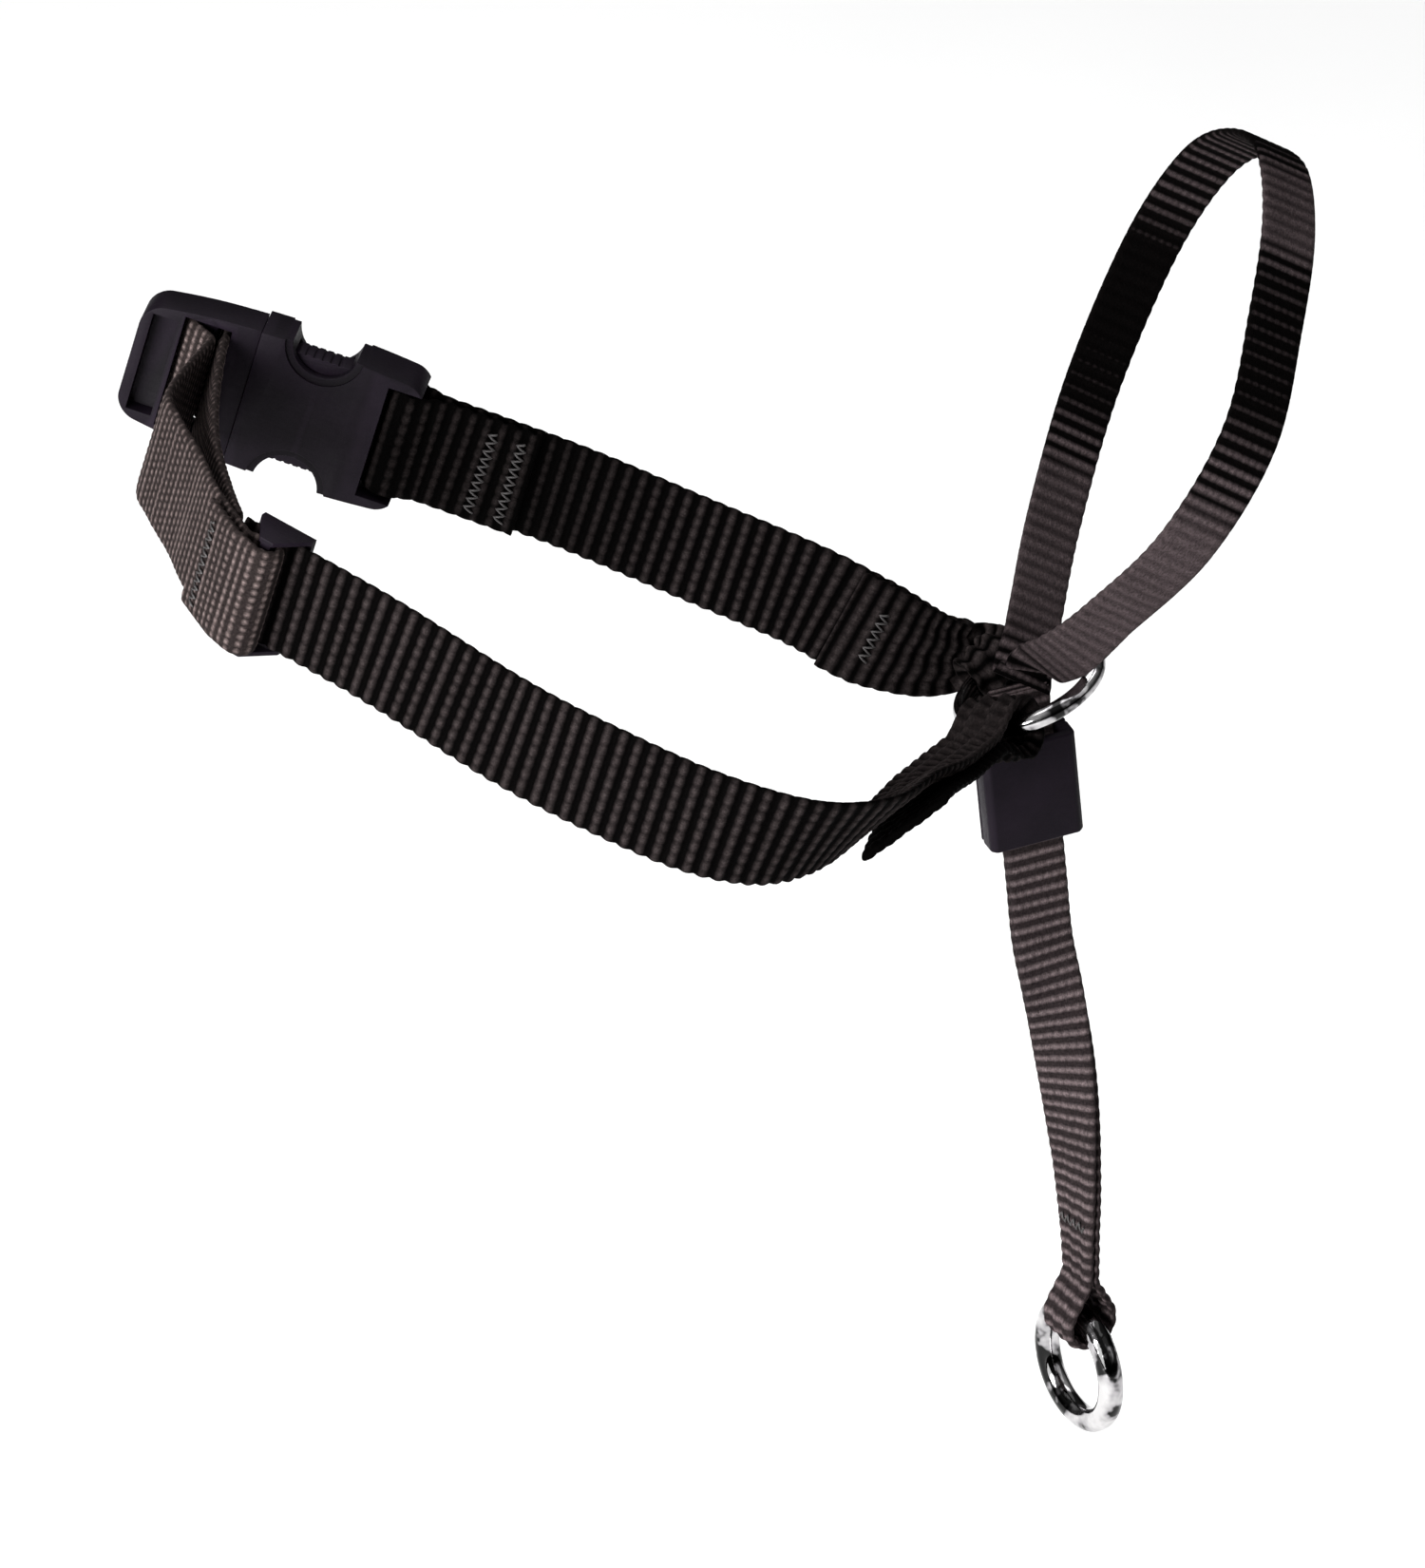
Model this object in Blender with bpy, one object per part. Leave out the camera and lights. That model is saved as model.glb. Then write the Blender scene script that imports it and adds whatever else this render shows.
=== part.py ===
"""Dog head halter: an adjustable neck strap with a side-release buckle, joined by a steel ring to a
sliding nose loop whose two ends hang through a clamp to the leash ring.

Metres, +Z up, -Y towards the near side of the neck. The origin is the middle of the neck opening.
"""

import math

import bmesh
import bpy
from mathutils import Matrix, Vector

GAP = 0.0003  # between pieces that touch, and between the two plies of a sewn strap

# Webbing
NECK_WIDTH = 0.019
NECK_THICK = 0.0016
NOSE_WIDTH = 0.010
NOSE_THICK = 0.0012
BUNCHED_WIDTH = 0.0105  # the neck webbing gathered where it goes round the centre ring
TAIL_EYE_WIDTH = 0.0084
STATION_STEP = 0.0045
EYE_TAPER = 1.7  # how far before an eye its plies part, in radii of the eye
THREAD_THICK = 0.0005
THREAD_ROW = 0.0016  # width of one row of bartack stitches
THREAD_LIFT = 0.0005  # clears the webbing where it twists

# Rings: radius to the middle of the wire, and the wire's own radius
CENTRE_RING_RADIUS = 0.0115
CENTRE_RING_WIRE = 0.0015
LEASH_RING_RADIUS = 0.0098
LEASH_RING_WIRE = 0.0021
RING_EYE_BORE = 0.0035
TAIL_EYE_BORE = 0.0038

# Buckle: distances along it are from the bar that holds the far strap
FEMALE_START = -0.0028
FEMALE_END = 0.0255
HOUSING_WIDTH = 0.0244
HOUSING_THICK = 0.0086
TUNNEL_WIDTH = 0.0204
TUNNEL_HEIGHT = 0.0048
TUNNEL_BOTTOM = 0.0054
SLOT_HALF = NECK_WIDTH / 2 + 0.0006
BAR_SIZE = 0.0030
BAR_BORE = 0.0024
NOTCH_ALONG = 0.0150
NOTCH_RADIUS = 0.0054
MALE_START = 0.0258
MALE_BAR = 0.0340
MALE_END = 0.0448
MALE_THICK = 0.0070
MALE_TAPER = 0.0022  # how much each side draws in towards the male half's end
GUIDE_TIP = 0.0090
GUIDE_WIDTH = 0.0034
GUIDE_THICK = 0.0038
ARM_ROOT = 0.0257
ARM_TIP = 0.0070
ARM_THICK = 0.0040
END_HALF = 0.0113  # half the female half's width where the strap leaves it
END_CORNER = 0.0034  # radius of the corners of both halves' outer ends
CUT_THROUGH = 0.010  # half the length of a cutter that goes right through

# Tri-glide slider
SLIDER_WIDTH = 0.0222
SLIDER_LENGTH = 0.0114
SLIDER_BAR = 0.0018
SLIDER_BAR_THICK = 0.0013
SLIDER_BORE = 0.0015

# Clamp on the two tails of the nose webbing
CLAMP_DROP = 0.0182
CLAMP_WIDTH = 0.0160
CLAMP_HEIGHT = 0.0186
CLAMP_THICK = 0.0066
CLAMP_BACK = 0.0045  # thickness of the body, the rest is the gate
CLAMP_CORNER = 0.0009
TAIL_BEND_DROP = 0.0470
TAIL_BEND_GAP = 0.0006

BLACK = (0.012, 0.010, 0.010)
AUBERGINE = (0.022, 0.017, 0.027)
CHROME = (0.75, 0.76, 0.78)
THREAD = (0.016, 0.013, 0.013)


def mm(x, y, z):
    return Vector((x, y, z)) * 0.001


RING = mm(75, 18, -22)  # centre of the steel ring that joins the straps


def at(x, y, z):
    """A point given in millimetres from the centre of the steel ring."""
    return RING + mm(x, y, z)


def unit(x, y, z):
    return Vector((x, y, z)).normalized()


def square_to(vector, axis):
    """The part of vector square to axis, at unit length."""
    return (vector - axis * vector.dot(axis)).normalized()


# The neck loop lies in a plane that rises towards the buckle, and its width stands square to it.
NECK_ACROSS = unit(0.284, 0, 0.959)
RING_NORMAL = unit(-0.38, 0, 0.925)
RING_X = unit(0.925, 0, 0.38)
RING_Y = Vector((0, 1, 0))

# The nose loop's own plane: up along it, towards its near leg, and the webbing's width
NOSE_UP = unit(0.382, 0.437, 0.815)
NOSE_NEAR = square_to(unit(0.373, -0.879, 0.297), NOSE_UP)
NOSE_ACROSS = NOSE_NEAR.cross(NOSE_UP)

BUCKLE_BAR = at(-101, 28, 30)
BUCKLE_AXIS = square_to(unit(-0.95, 0.155, 0.285), NECK_ACROSS)
BUCKLE_OUT = BUCKLE_AXIS.cross(NECK_ACROSS)

SLIDER_AT = at(-119.5, -33.2, 36.3)
SLIDER_AXIS = square_to(unit(0.834, -0.492, -0.247), NECK_ACROSS)  # towards the ring
SLIDER_OUT = SLIDER_AXIS.cross(NECK_ACROSS)

TAIL_TOP = at(-1.8, 0, 0)
TAIL_DOWN = unit(0.1, 0, -1)
TAIL_YAW = math.radians(19)
TAIL_ACROSS = square_to(unit(math.cos(TAIL_YAW), math.sin(TAIL_YAW), 0), TAIL_DOWN)
TAIL_FACE = TAIL_DOWN.cross(TAIL_ACROSS)  # towards the near side
LEASH_EYE = at(10.4, 0, -119.3)
LEASH_ACROSS = unit(0.51, -0.857, 0)
TAIL_BOW = 0.0016
DOWN = Vector((0, 0, -1))


# --- scene and material helpers


def clear_scene():
    for obj in list(bpy.data.objects):
        bpy.data.objects.remove(obj, do_unlink=True)


def material(name, colour, roughness, metallic=0.0):
    made = bpy.data.materials.new(name)
    made.use_nodes = True
    shader = made.node_tree.nodes["Principled BSDF"]
    shader.inputs["Base Color"].default_value = (*colour, 1.0)
    shader.inputs["Roughness"].default_value = roughness
    shader.inputs["Metallic"].default_value = metallic
    return made


def frame(origin, x, y, z):
    """The placement whose axes are x, y and z."""
    turn = Matrix((x, y, z)).transposed().to_4x4()
    return Matrix.Translation(origin) @ turn


def add_object(name, mesh, place, finish):
    obj = bpy.data.objects.new(name, mesh)
    obj.matrix_world = place
    bpy.context.scene.collection.objects.link(obj)
    if finish:
        mesh.materials.append(finish)
    return obj


def mesh_from(name, points, faces):
    mesh = bpy.data.meshes.new(name)
    mesh.from_pydata(points, [], faces)
    made = bmesh.new()
    made.from_mesh(mesh)
    bmesh.ops.recalc_face_normals(made, faces=made.faces)
    made.to_mesh(mesh)
    made.free()
    return mesh


# --- solids


def prism(name, outline, low, high, place, finish):
    """An outline in the placement's XY plane, made solid from low to high along its Z."""
    count = len(outline)
    points = [(x, y, low) for x, y in outline] + [(x, y, high) for x, y in outline]
    faces = [[(i + 1) % count, i, i + count, (i + 1) % count + count] for i in range(count)]
    faces += [list(range(count)), list(range(2 * count - 1, count - 1, -1))]
    return add_object(name, mesh_from(name, points, faces), place, finish)


def rectangle(x0, x1, y0, y1):
    return [(x0, y0), (x1, y0), (x1, y1), (x0, y1)]


def circle(x, y, radius, count=20):
    turns = [2 * math.pi * i / count for i in range(count)]
    return [(x + radius * math.cos(a), y + radius * math.sin(a)) for a in turns]


def combine(obj, other, operation):
    """Cuts other out of obj, or joins it on, and keeps other as a hidden guide."""
    change = obj.modifiers.new(other.name, "BOOLEAN")
    change.operation = operation
    change.object = other
    change.solver = "EXACT"
    other.hide_render = True
    other.display_type = "WIRE"


def ring(name, place, radius, wire, finish):
    mesh = bpy.data.meshes.new(name)
    made = bmesh.new()
    turns, sides = 32, 10
    for i in range(turns):
        a = 2 * math.pi * i / turns
        for j in range(sides):
            b = 2 * math.pi * j / sides
            reach = radius + wire * math.cos(b)
            made.verts.new((reach * math.cos(a), reach * math.sin(a), wire * math.sin(b)))
    made.verts.ensure_lookup_table()
    for i in range(turns):
        for j in range(sides):
            i2, j2 = (i + 1) % turns, (j + 1) % sides
            corners = (i * sides + j, i2 * sides + j, i2 * sides + j2, i * sides + j2)
            made.faces.new([made.verts[k] for k in corners])
    bmesh.ops.recalc_face_normals(made, faces=made.faces)
    made.to_mesh(mesh)
    made.free()
    mesh.shade_smooth()
    return add_object(name, mesh, place, finish)


# --- webbing: a station is (centre, direction across, width)


def curve_through(stations, step=STATION_STEP):
    """Stations about a step apart along a smooth curve through the given ones."""
    made = []
    last = len(stations) - 1
    for i in range(last):
        a, b, c, d = (stations[min(max(k, 0), last)] for k in (i - 1, i, i + 1, i + 2))
        count = max(1, round((c[0] - b[0]).length / step))
        for k in range(count):
            made.append(blend_station(a, b, c, d, k / count))
    made.append(stations[last])
    return made


def blend_station(a, b, c, d, t):
    """The station a fraction t from b to c on a Catmull-Rom curve."""
    weights = (
        0.5 * (-t + 2 * t * t - t**3),
        0.5 * (2 - 5 * t * t + 3 * t**3),
        0.5 * (t + 4 * t * t - 3 * t**3),
        0.5 * (t**3 - t * t),
    )
    centre = sum((s[0] * w for s, w in zip((a, b, c, d), weights)), Vector())
    across = b[1].lerp(c[1], t).normalized()
    return centre, across, b[2] + (c[2] - b[2]) * t


def with_normals(stations):
    """Adds each station's direction out of the webbing's face, and squares its width to the path."""
    made = []
    for i, (centre, across, width) in enumerate(stations):
        before = stations[max(i - 1, 0)][0]
        after = stations[min(i + 1, len(stations) - 1)][0]
        along = (after - before).normalized()
        across = square_to(across, along)
        made.append((centre, across, width, along.cross(across)))
    return made


def eye_reach(bore, thick):
    """How far before an eye's centre its two plies start to part."""
    return EYE_TAPER * (bore + thick / 2)


def eye_entry(centre, across, towards, bore, thick, side):
    """Where the middle of one ply starts into an eye round a wire or a bar."""
    out = towards.cross(across) * side
    return centre - towards * eye_reach(bore, thick) + out * (thick + GAP) / 2


def eye_turn(centre, across, towards, bore, thick, side, width, steps=11):
    """Stations round an eye: out along one ply's line, round the wire and back to the other's."""
    radius = bore + thick / 2
    reach = eye_reach(bore, thick)
    half = (thick + GAP) / 2
    out = towards.cross(across) * side
    lean = math.atan2(half, reach) + math.acos(radius / math.hypot(reach, half))
    made = []
    for i in range(steps + 1):
        turn = lean + (2 * math.pi - 2 * lean) * i / steps
        offset = out * math.sin(turn) - towards * math.cos(turn)
        made.append((centre + offset * radius, across, width))
    return made


def doubled_ply(stations, length, thick, side, lift=0.0):
    """The ply sewn back along the last stretch of a strap, its free end standing off by lift."""
    made = []
    run = 0.0
    framed = with_normals(stations)
    for i in range(len(framed) - 1, -1, -1):
        centre, across, width, out = framed[i]
        if i < len(framed) - 1:
            run += (framed[i + 1][0] - centre).length
        if run > length:
            break
        spread = thick + GAP + lift * (run / length) ** 2
        made.append((centre - out * side * spread, across, width))
    return made


def webbing_points(framed, thick):
    points = []
    for centre, across, width, out in framed:
        for a, o in ((-1, -1), (1, -1), (1, 1), (-1, 1)):
            points.append(centre + across * (a * width / 2) + out * (o * thick / 2))
    return points


def webbing_faces(count):
    faces = [[3, 2, 1, 0]]
    for a in range(0, 4 * (count - 1), 4):
        faces += [[a + k, a + (k + 1) % 4, a + 4 + (k + 1) % 4, a + 4 + k] for k in range(4)]
    faces.append([4 * (count - 1) + k for k in range(4)])
    return faces


def webbing(name, stations, thick, finish):
    """A solid of flat webbing along its stations, in an object at the world's origin."""
    points = webbing_points(with_normals(stations), thick)
    mesh = mesh_from(name, points, webbing_faces(len(stations)))
    return add_object(name, mesh, Matrix(), finish)


# --- straps

FAR_RING_SIDE = -1  # which side of its face ply each strap's own fold starts from
FAR_BAR_SIDE = 1
NEAR_SIDE = -1
FLAP_LIFT = 0.0022  # how far the end of the near strap's sewn ply stands off the strap
STRAP_PAST_SLIDER = 0.0064
STRAP_JOIN = 0.0013  # clears the end of the near strap's webbing, which runs on into the adjuster


def between(a, b, share):
    return a.lerp(b, share).normalized()


def ring_point(degrees):
    turn = math.radians(degrees)
    reach = RING_X * math.cos(turn) + RING_Y * math.sin(turn)
    wire_line = RING_Y * math.cos(turn) - RING_X * math.sin(turn)
    return RING + reach * CENTRE_RING_RADIUS, wire_line


def facing_up(wire_line):
    """The direction along the ring's wire that lies nearer to the neck webbing's upper edge."""
    return -wire_line if wire_line.dot(NECK_ACROSS) < 0 else wire_line


def far_eye():
    """The far strap's eye on the ring: its centre, the wire's line and the way in."""
    centre, wire_line = ring_point(122)
    outwards = (centre - RING).normalized() * 0.95 + RING_NORMAL * 0.3
    across = facing_up(wire_line)
    return centre, across, square_to(-outwards, across)


def far_route():
    """The far strap's face ply, from the buckle's bar to its eye on the ring."""
    centre, across, towards = far_eye()
    start = eye_entry(centre, across, towards, RING_EYE_BORE, NECK_THICK, FAR_RING_SIDE)
    anchor = eye_entry(
        BUCKLE_BAR, NECK_ACROSS, BUCKLE_AXIS, BAR_BORE, NECK_THICK, FAR_BAR_SIDE
    )
    stations = [
        (anchor, NECK_ACROSS, NECK_WIDTH),
        (at(-84, 26.4, 24.6), NECK_ACROSS, NECK_WIDTH),
        (at(-71, 23.2, 20.8), NECK_ACROSS, NECK_WIDTH),
        (at(-54, 17.8, 15.6), NECK_ACROSS, NECK_WIDTH),
        (at(-36, 12.2, 10.0), NECK_ACROSS, NECK_WIDTH),
        (at(-25, 10, 4.6), between(NECK_ACROSS, across, 0.25), 0.95 * NECK_WIDTH),
        (at(-16, 12.4, -0.6), between(NECK_ACROSS, across, 0.6), 0.75 * NECK_WIDTH),
        (start, across, BUNCHED_WIDTH),
    ]
    return curve_through(stations)


def far_strap(finish):
    route = far_route()
    turn = eye_turn(*far_eye(), RING_EYE_BORE, NECK_THICK, FAR_RING_SIDE, BUNCHED_WIDTH)
    fold = eye_turn(
        BUCKLE_BAR, NECK_ACROSS, BUCKLE_AXIS, BAR_BORE, NECK_THICK, FAR_BAR_SIDE, NECK_WIDTH
    )
    ring_ply = doubled_ply(route, 0.024, NECK_THICK, FAR_RING_SIDE)
    bar_ply = doubled_ply(route[::-1], 0.017, NECK_THICK, FAR_BAR_SIDE)
    stations = bar_ply[::-1] + fold[::-1] + route + turn + ring_ply
    webbing("neck_strap_far", stations, NECK_THICK, finish)
    return bar_ply, ring_ply


def near_eye():
    """The near strap's eye on the ring: its centre, the wire's line and the way in."""
    centre, wire_line = ring_point(243)
    across = facing_up(wire_line)
    return centre, across, square_to(unit(0.42, 0.88, -0.15), across)


def near_route():
    """The near strap's face ply, from just past the slider to its eye on the ring."""
    centre, across, towards = near_eye()
    start = eye_entry(centre, across, towards, RING_EYE_BORE, NECK_THICK, NEAR_SIDE)
    stations = [
        (SLIDER_AT - SLIDER_AXIS * STRAP_PAST_SLIDER, NECK_ACROSS, NECK_WIDTH),
        (SLIDER_AT + SLIDER_AXIS * 0.020, NECK_ACROSS, NECK_WIDTH),
        (at(-81.5, -55.8, 23.5), NECK_ACROSS, NECK_WIDTH),
        (at(-65.8, -63.7, 18.8), NECK_ACROSS, NECK_WIDTH),
        (at(-51, -68.5, 14.4), between(NECK_ACROSS, across, 0.12), NECK_WIDTH),
        (at(-38, -67, 10.4), between(NECK_ACROSS, across, 0.3), NECK_WIDTH),
        (at(-27.5, -58, 7.4), between(NECK_ACROSS, across, 0.45), NECK_WIDTH),
        (at(-21.2, -42.7, 4.6), between(NECK_ACROSS, across, 0.62), 0.93 * NECK_WIDTH),
        (at(-15.8, -29.6, 1.5), between(NECK_ACROSS, across, 0.85), 0.8 * NECK_WIDTH),
        (start, across, BUNCHED_WIDTH),
    ]
    return curve_through(stations)


def near_strap(finish):
    route = near_route()
    turn = eye_turn(*near_eye(), RING_EYE_BORE, NECK_THICK, NEAR_SIDE, BUNCHED_WIDTH)
    ring_ply = doubled_ply(route, 0.036, NECK_THICK, NEAR_SIDE, FLAP_LIFT)
    webbing("neck_strap_near", route + turn + ring_ply, NECK_THICK, finish)
    return ring_ply


def male_bar_eye():
    """The adjuster strap's fold round the male half's bar."""
    bar = BUCKLE_BAR + BUCKLE_AXIS * MALE_BAR
    return bar, NECK_ACROSS, square_to(unit(-0.25, 0.96, 0.07), NECK_ACROSS)


def slider_bar_eye():
    """The adjuster strap's sewn fold round the slider's centre bar."""
    return SLIDER_AT + SLIDER_OUT * slider_bar_rise(), NECK_ACROSS, SLIDER_AXIS


def adjuster_strap(finish):
    """The loop from the near strap round the male half's bar, and back outside it to the slider."""
    eye = male_bar_eye()
    inner_entry = eye_entry(*eye, BAR_BORE, NECK_THICK, 1)
    outer_entry = eye_entry(*eye, BAR_BORE, NECK_THICK, -1)
    turn = eye_turn(*eye, BAR_BORE, NECK_THICK, 1, NECK_WIDTH)
    fold_eye = slider_bar_eye()
    fold_entry = eye_entry(*fold_eye, SLIDER_BORE, NECK_THICK, -1)
    fold = eye_turn(*fold_eye, SLIDER_BORE, NECK_THICK, -1, NECK_WIDTH, 7)
    start = SLIDER_AT - SLIDER_AXIS * (STRAP_PAST_SLIDER + STRAP_JOIN)
    inner_points = (start, at(-128, -20, 38), at(-130.6, -6, 38.7), at(-131.4, 9, 38.9), inner_entry)
    outer_points = (
        outer_entry,
        at(-138.4, 7, 41),
        at(-136.7, -2, 40.7),
        at(-132.9, -12.3, 39.7),
        at(-129.9, -22.2, 38.9),
        fold_entry,
    )
    inner = curve_through([(p, NECK_ACROSS, NECK_WIDTH) for p in inner_points])
    outer = curve_through([(p, NECK_ACROSS, NECK_WIDTH) for p in outer_points])
    sewn_ply = doubled_ply(outer, 0.010, NECK_THICK, -1)
    webbing("adjuster_strap", inner + turn + outer + fold + sewn_ply, NECK_THICK, finish)
    return sewn_ply


def nose_point(near, up):
    """A point of the nose loop's plane, whose foot is drawn aside to where the tail leaves."""
    foot = TAIL_TOP.lerp(RING, min(1, up / NOSE_FOOT_UP))
    return foot + NOSE_NEAR * (near * 0.001) + NOSE_UP * (up * 0.001)


NOSE_FOOT_UP = 50
# The nose loop's outline in its own plane: millimetres towards the near leg, and up from the ring
NOSE_OUTLINE = (
    (0.9, 3.2),
    (4.2, 4.6),
    (11, 7.6),
    (19, 14.6),
    (33.8, 30.0),
    (38.6, 49),
    (31.5, 67.4),
    (23, 82.3),
    (11, 92.4),
    (-2.5, 93.5),
    (-13.5, 88),
    (-20.5, 73),
    (-21, 49),
    (-13.4, 27),
    (-5.4, 12),
    (-2.6, 7),
    (-0.9, 3.2),
)


def nose_loop(finish):
    ends = (0, len(NOSE_OUTLINE) - 1)
    stations = []
    for i, (near, up) in enumerate(NOSE_OUTLINE):
        across = TAIL_ACROSS if i in ends else NOSE_ACROSS
        if across.dot(TAIL_ACROSS) < 0:
            across = -across
        stations.append((nose_point(near, up), across, NOSE_WIDTH))
    webbing("nose_loop", curve_through(stations), NOSE_THICK, finish)


def tail_point(drop):
    """A point on the tail's middle line, a distance below the ring."""
    return TAIL_TOP + TAIL_DOWN * drop


def tail_plies(finish):
    """The two plies from the ring to the place where the tail bends."""
    for side, word in ((-1, "back"), (1, "front")):
        offset = TAIL_FACE * (side * (NOSE_THICK + GAP) / 2)
        drops = (0.0006, 0.012, 0.025, 0.036, TAIL_BEND_DROP - TAIL_BEND_GAP)
        stations = [(tail_point(d) + offset, TAIL_ACROSS, NOSE_WIDTH) for d in drops]
        webbing(f"tail_{word}_ply", stations, NOSE_THICK, finish)


# The lower tail turns about itself on its way down: share of the way, and yaw in degrees
TAIL_TURNS = ((0.16, 12), (0.4, -18), (0.66, -42), (0.86, -55), (1.0, -59.24))


def tail_route():
    """The lower tail's middle line, from its bend to the leash ring's eye."""
    first = tail_point(TAIL_BEND_DROP + TAIL_BEND_GAP)
    end = LEASH_EYE - DOWN * eye_reach(TAIL_EYE_BORE, NOSE_THICK)
    stations = [(first, TAIL_ACROSS, NOSE_WIDTH)]
    for share, yaw in TAIL_TURNS:
        turn = math.radians(yaw)
        across = unit(math.cos(turn), math.sin(turn), 0)
        width = NOSE_WIDTH + (TAIL_EYE_WIDTH - NOSE_WIDTH) * share**2
        bow = Vector((TAIL_BOW * math.sin(math.pi * share), 0, 0))
        stations.append((first.lerp(end, share) + bow, across, width))
    return curve_through(stations, 0.005)


def tail_lower(finish):
    framed = with_normals(tail_route())
    half = (NOSE_THICK + GAP) / 2
    front = [(c + out * half, a, w) for c, a, w, out in framed]
    back = [(c - out * half, a, w) for c, a, w, out in framed]
    turn = eye_turn(
        LEASH_EYE, LEASH_ACROSS, DOWN, TAIL_EYE_BORE, NOSE_THICK, 1, TAIL_EYE_WIDTH
    )
    webbing("tail_lower", front + turn + back[::-1], NOSE_THICK, finish)
    return front


# --- buckle


def buckle_frame():
    """X along the buckle from its bar, Y across it, Z out from the neck."""
    return frame(BUCKLE_BAR, BUCKLE_AXIS, NECK_ACROSS, BUCKLE_OUT)


def bowed_outline(start, end, half_start, half_end, bow, corner, count=14):
    """A strip along X that runs from start to end, bowed along its sides and rounded at its start."""
    upper = []
    for i in range(count):
        share = (i / (count - 1)) ** 2
        half = half_start + (half_end - half_start) * share + bow * math.sin(math.pi * share)
        x = start + (end - start) * share
        short = max(0.0, corner - abs(x - start))
        upper.append((x, half - corner + math.sqrt(corner**2 - short**2)))
    return upper[::-1] + [(x, -y) for x, y in upper]


def cut_box(body, word, x0, x1, half_wide, low, high):
    """Cuts a box out of a buckle half: x0 to x1 along it, and low to high through it."""
    name = f"{body.name}_{word}_cutter"
    outline = rectangle(x0, x1, -half_wide, half_wide)
    cutter = prism(name, outline, low, high, buckle_frame(), None)
    combine(body, cutter, "DIFFERENCE")


def free_bar(body, middle, reach):
    """Leaves a square bar across a buckle half, with room all round it for the webbing."""
    half = BAR_SIZE / 2
    cut_box(body, "slot_before_bar", middle - reach[0], middle - half, SLOT_HALF,
            -CUT_THROUGH, CUT_THROUGH)
    cut_box(body, "slot_after_bar", middle + half, middle + reach[1], SLOT_HALF,
            -CUT_THROUGH, CUT_THROUGH)
    cut_box(body, "above_bar", middle - BAR_SIZE, middle + BAR_SIZE, SLOT_HALF,
            half, CUT_THROUGH)
    cut_box(body, "below_bar", middle - BAR_SIZE, middle + BAR_SIZE, SLOT_HALF,
            -CUT_THROUGH, -half)


def female_housing(finish):
    place = buckle_frame()
    half = HOUSING_THICK / 2
    end_half = HOUSING_WIDTH / 2
    outline = bowed_outline(FEMALE_START, FEMALE_END, END_HALF, end_half, 0.0006, END_CORNER)
    body = prism("buckle_female_housing", outline, -half, half, place, finish)
    cut_box(body, "tunnel", TUNNEL_BOTTOM, FEMALE_END + 0.005, TUNNEL_WIDTH / 2,
            -TUNNEL_HEIGHT / 2, TUNNEL_HEIGHT / 2)
    free_bar(body, 0.0, (CUT_THROUGH, 0.0044))
    for side, word in ((-1, "lower"), (1, "upper")):
        outline = circle(NOTCH_ALONG, side * (end_half + 0.0008), NOTCH_RADIUS)
        notch = prism(f"notch_cutter_{word}", outline, -CUT_THROUGH, CUT_THROUGH, place, None)
        combine(body, notch, "DIFFERENCE")
    return body


def male_frame(finish):
    place = buckle_frame()
    half = MALE_THICK / 2
    wide = HOUSING_WIDTH / 2 - 0.0002
    outline = bowed_outline(MALE_END, MALE_START, wide - MALE_TAPER, wide, 0.0004, END_CORNER)
    body = prism("buckle_male_frame", outline, -half, half, place, finish)
    free_bar(body, MALE_BAR, (0.0044, 0.0044))
    guide = prism(
        "male_guide_prong",
        rectangle(GUIDE_TIP, MALE_START + 0.001, -GUIDE_WIDTH / 2, GUIDE_WIDTH / 2),
        -GUIDE_THICK / 2,
        GUIDE_THICK / 2,
        place,
        None,
    )
    combine(body, guide, "UNION")
    return body


# A latch arm's outline in the buckle's plane: along the buckle, and out from its middle line
ARM_OUTLINE = (
    (ARM_ROOT, 0.0066),
    (0.0150, 0.0058),
    (ARM_TIP, 0.0066),
    (ARM_TIP, 0.0086),
    (0.0098, 0.0099),
    (0.0190, 0.0099),
    (0.0205, 0.0086),
    (ARM_ROOT, 0.0086),
)
ARM_PIVOT = 0.0076


def latch_arm(word, side, finish):
    """A flexing arm with the pad that a finger presses, its origin at the arm's root."""
    local = [(x - ARM_ROOT, side * (y - ARM_PIVOT)) for x, y in ARM_OUTLINE]
    place = buckle_frame() @ Matrix.Translation((ARM_ROOT, side * ARM_PIVOT, 0))
    return prism(f"latch_arm_{word}", local, -ARM_THICK / 2, ARM_THICK / 2, place, finish)


# --- slider, clamp


def slider_bar_rise():
    """How far the slider's centre bar lies outside the middle of the strap that passes under it."""
    return NECK_THICK / 2 + GAP + NECK_THICK + SLIDER_BORE + GAP


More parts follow.
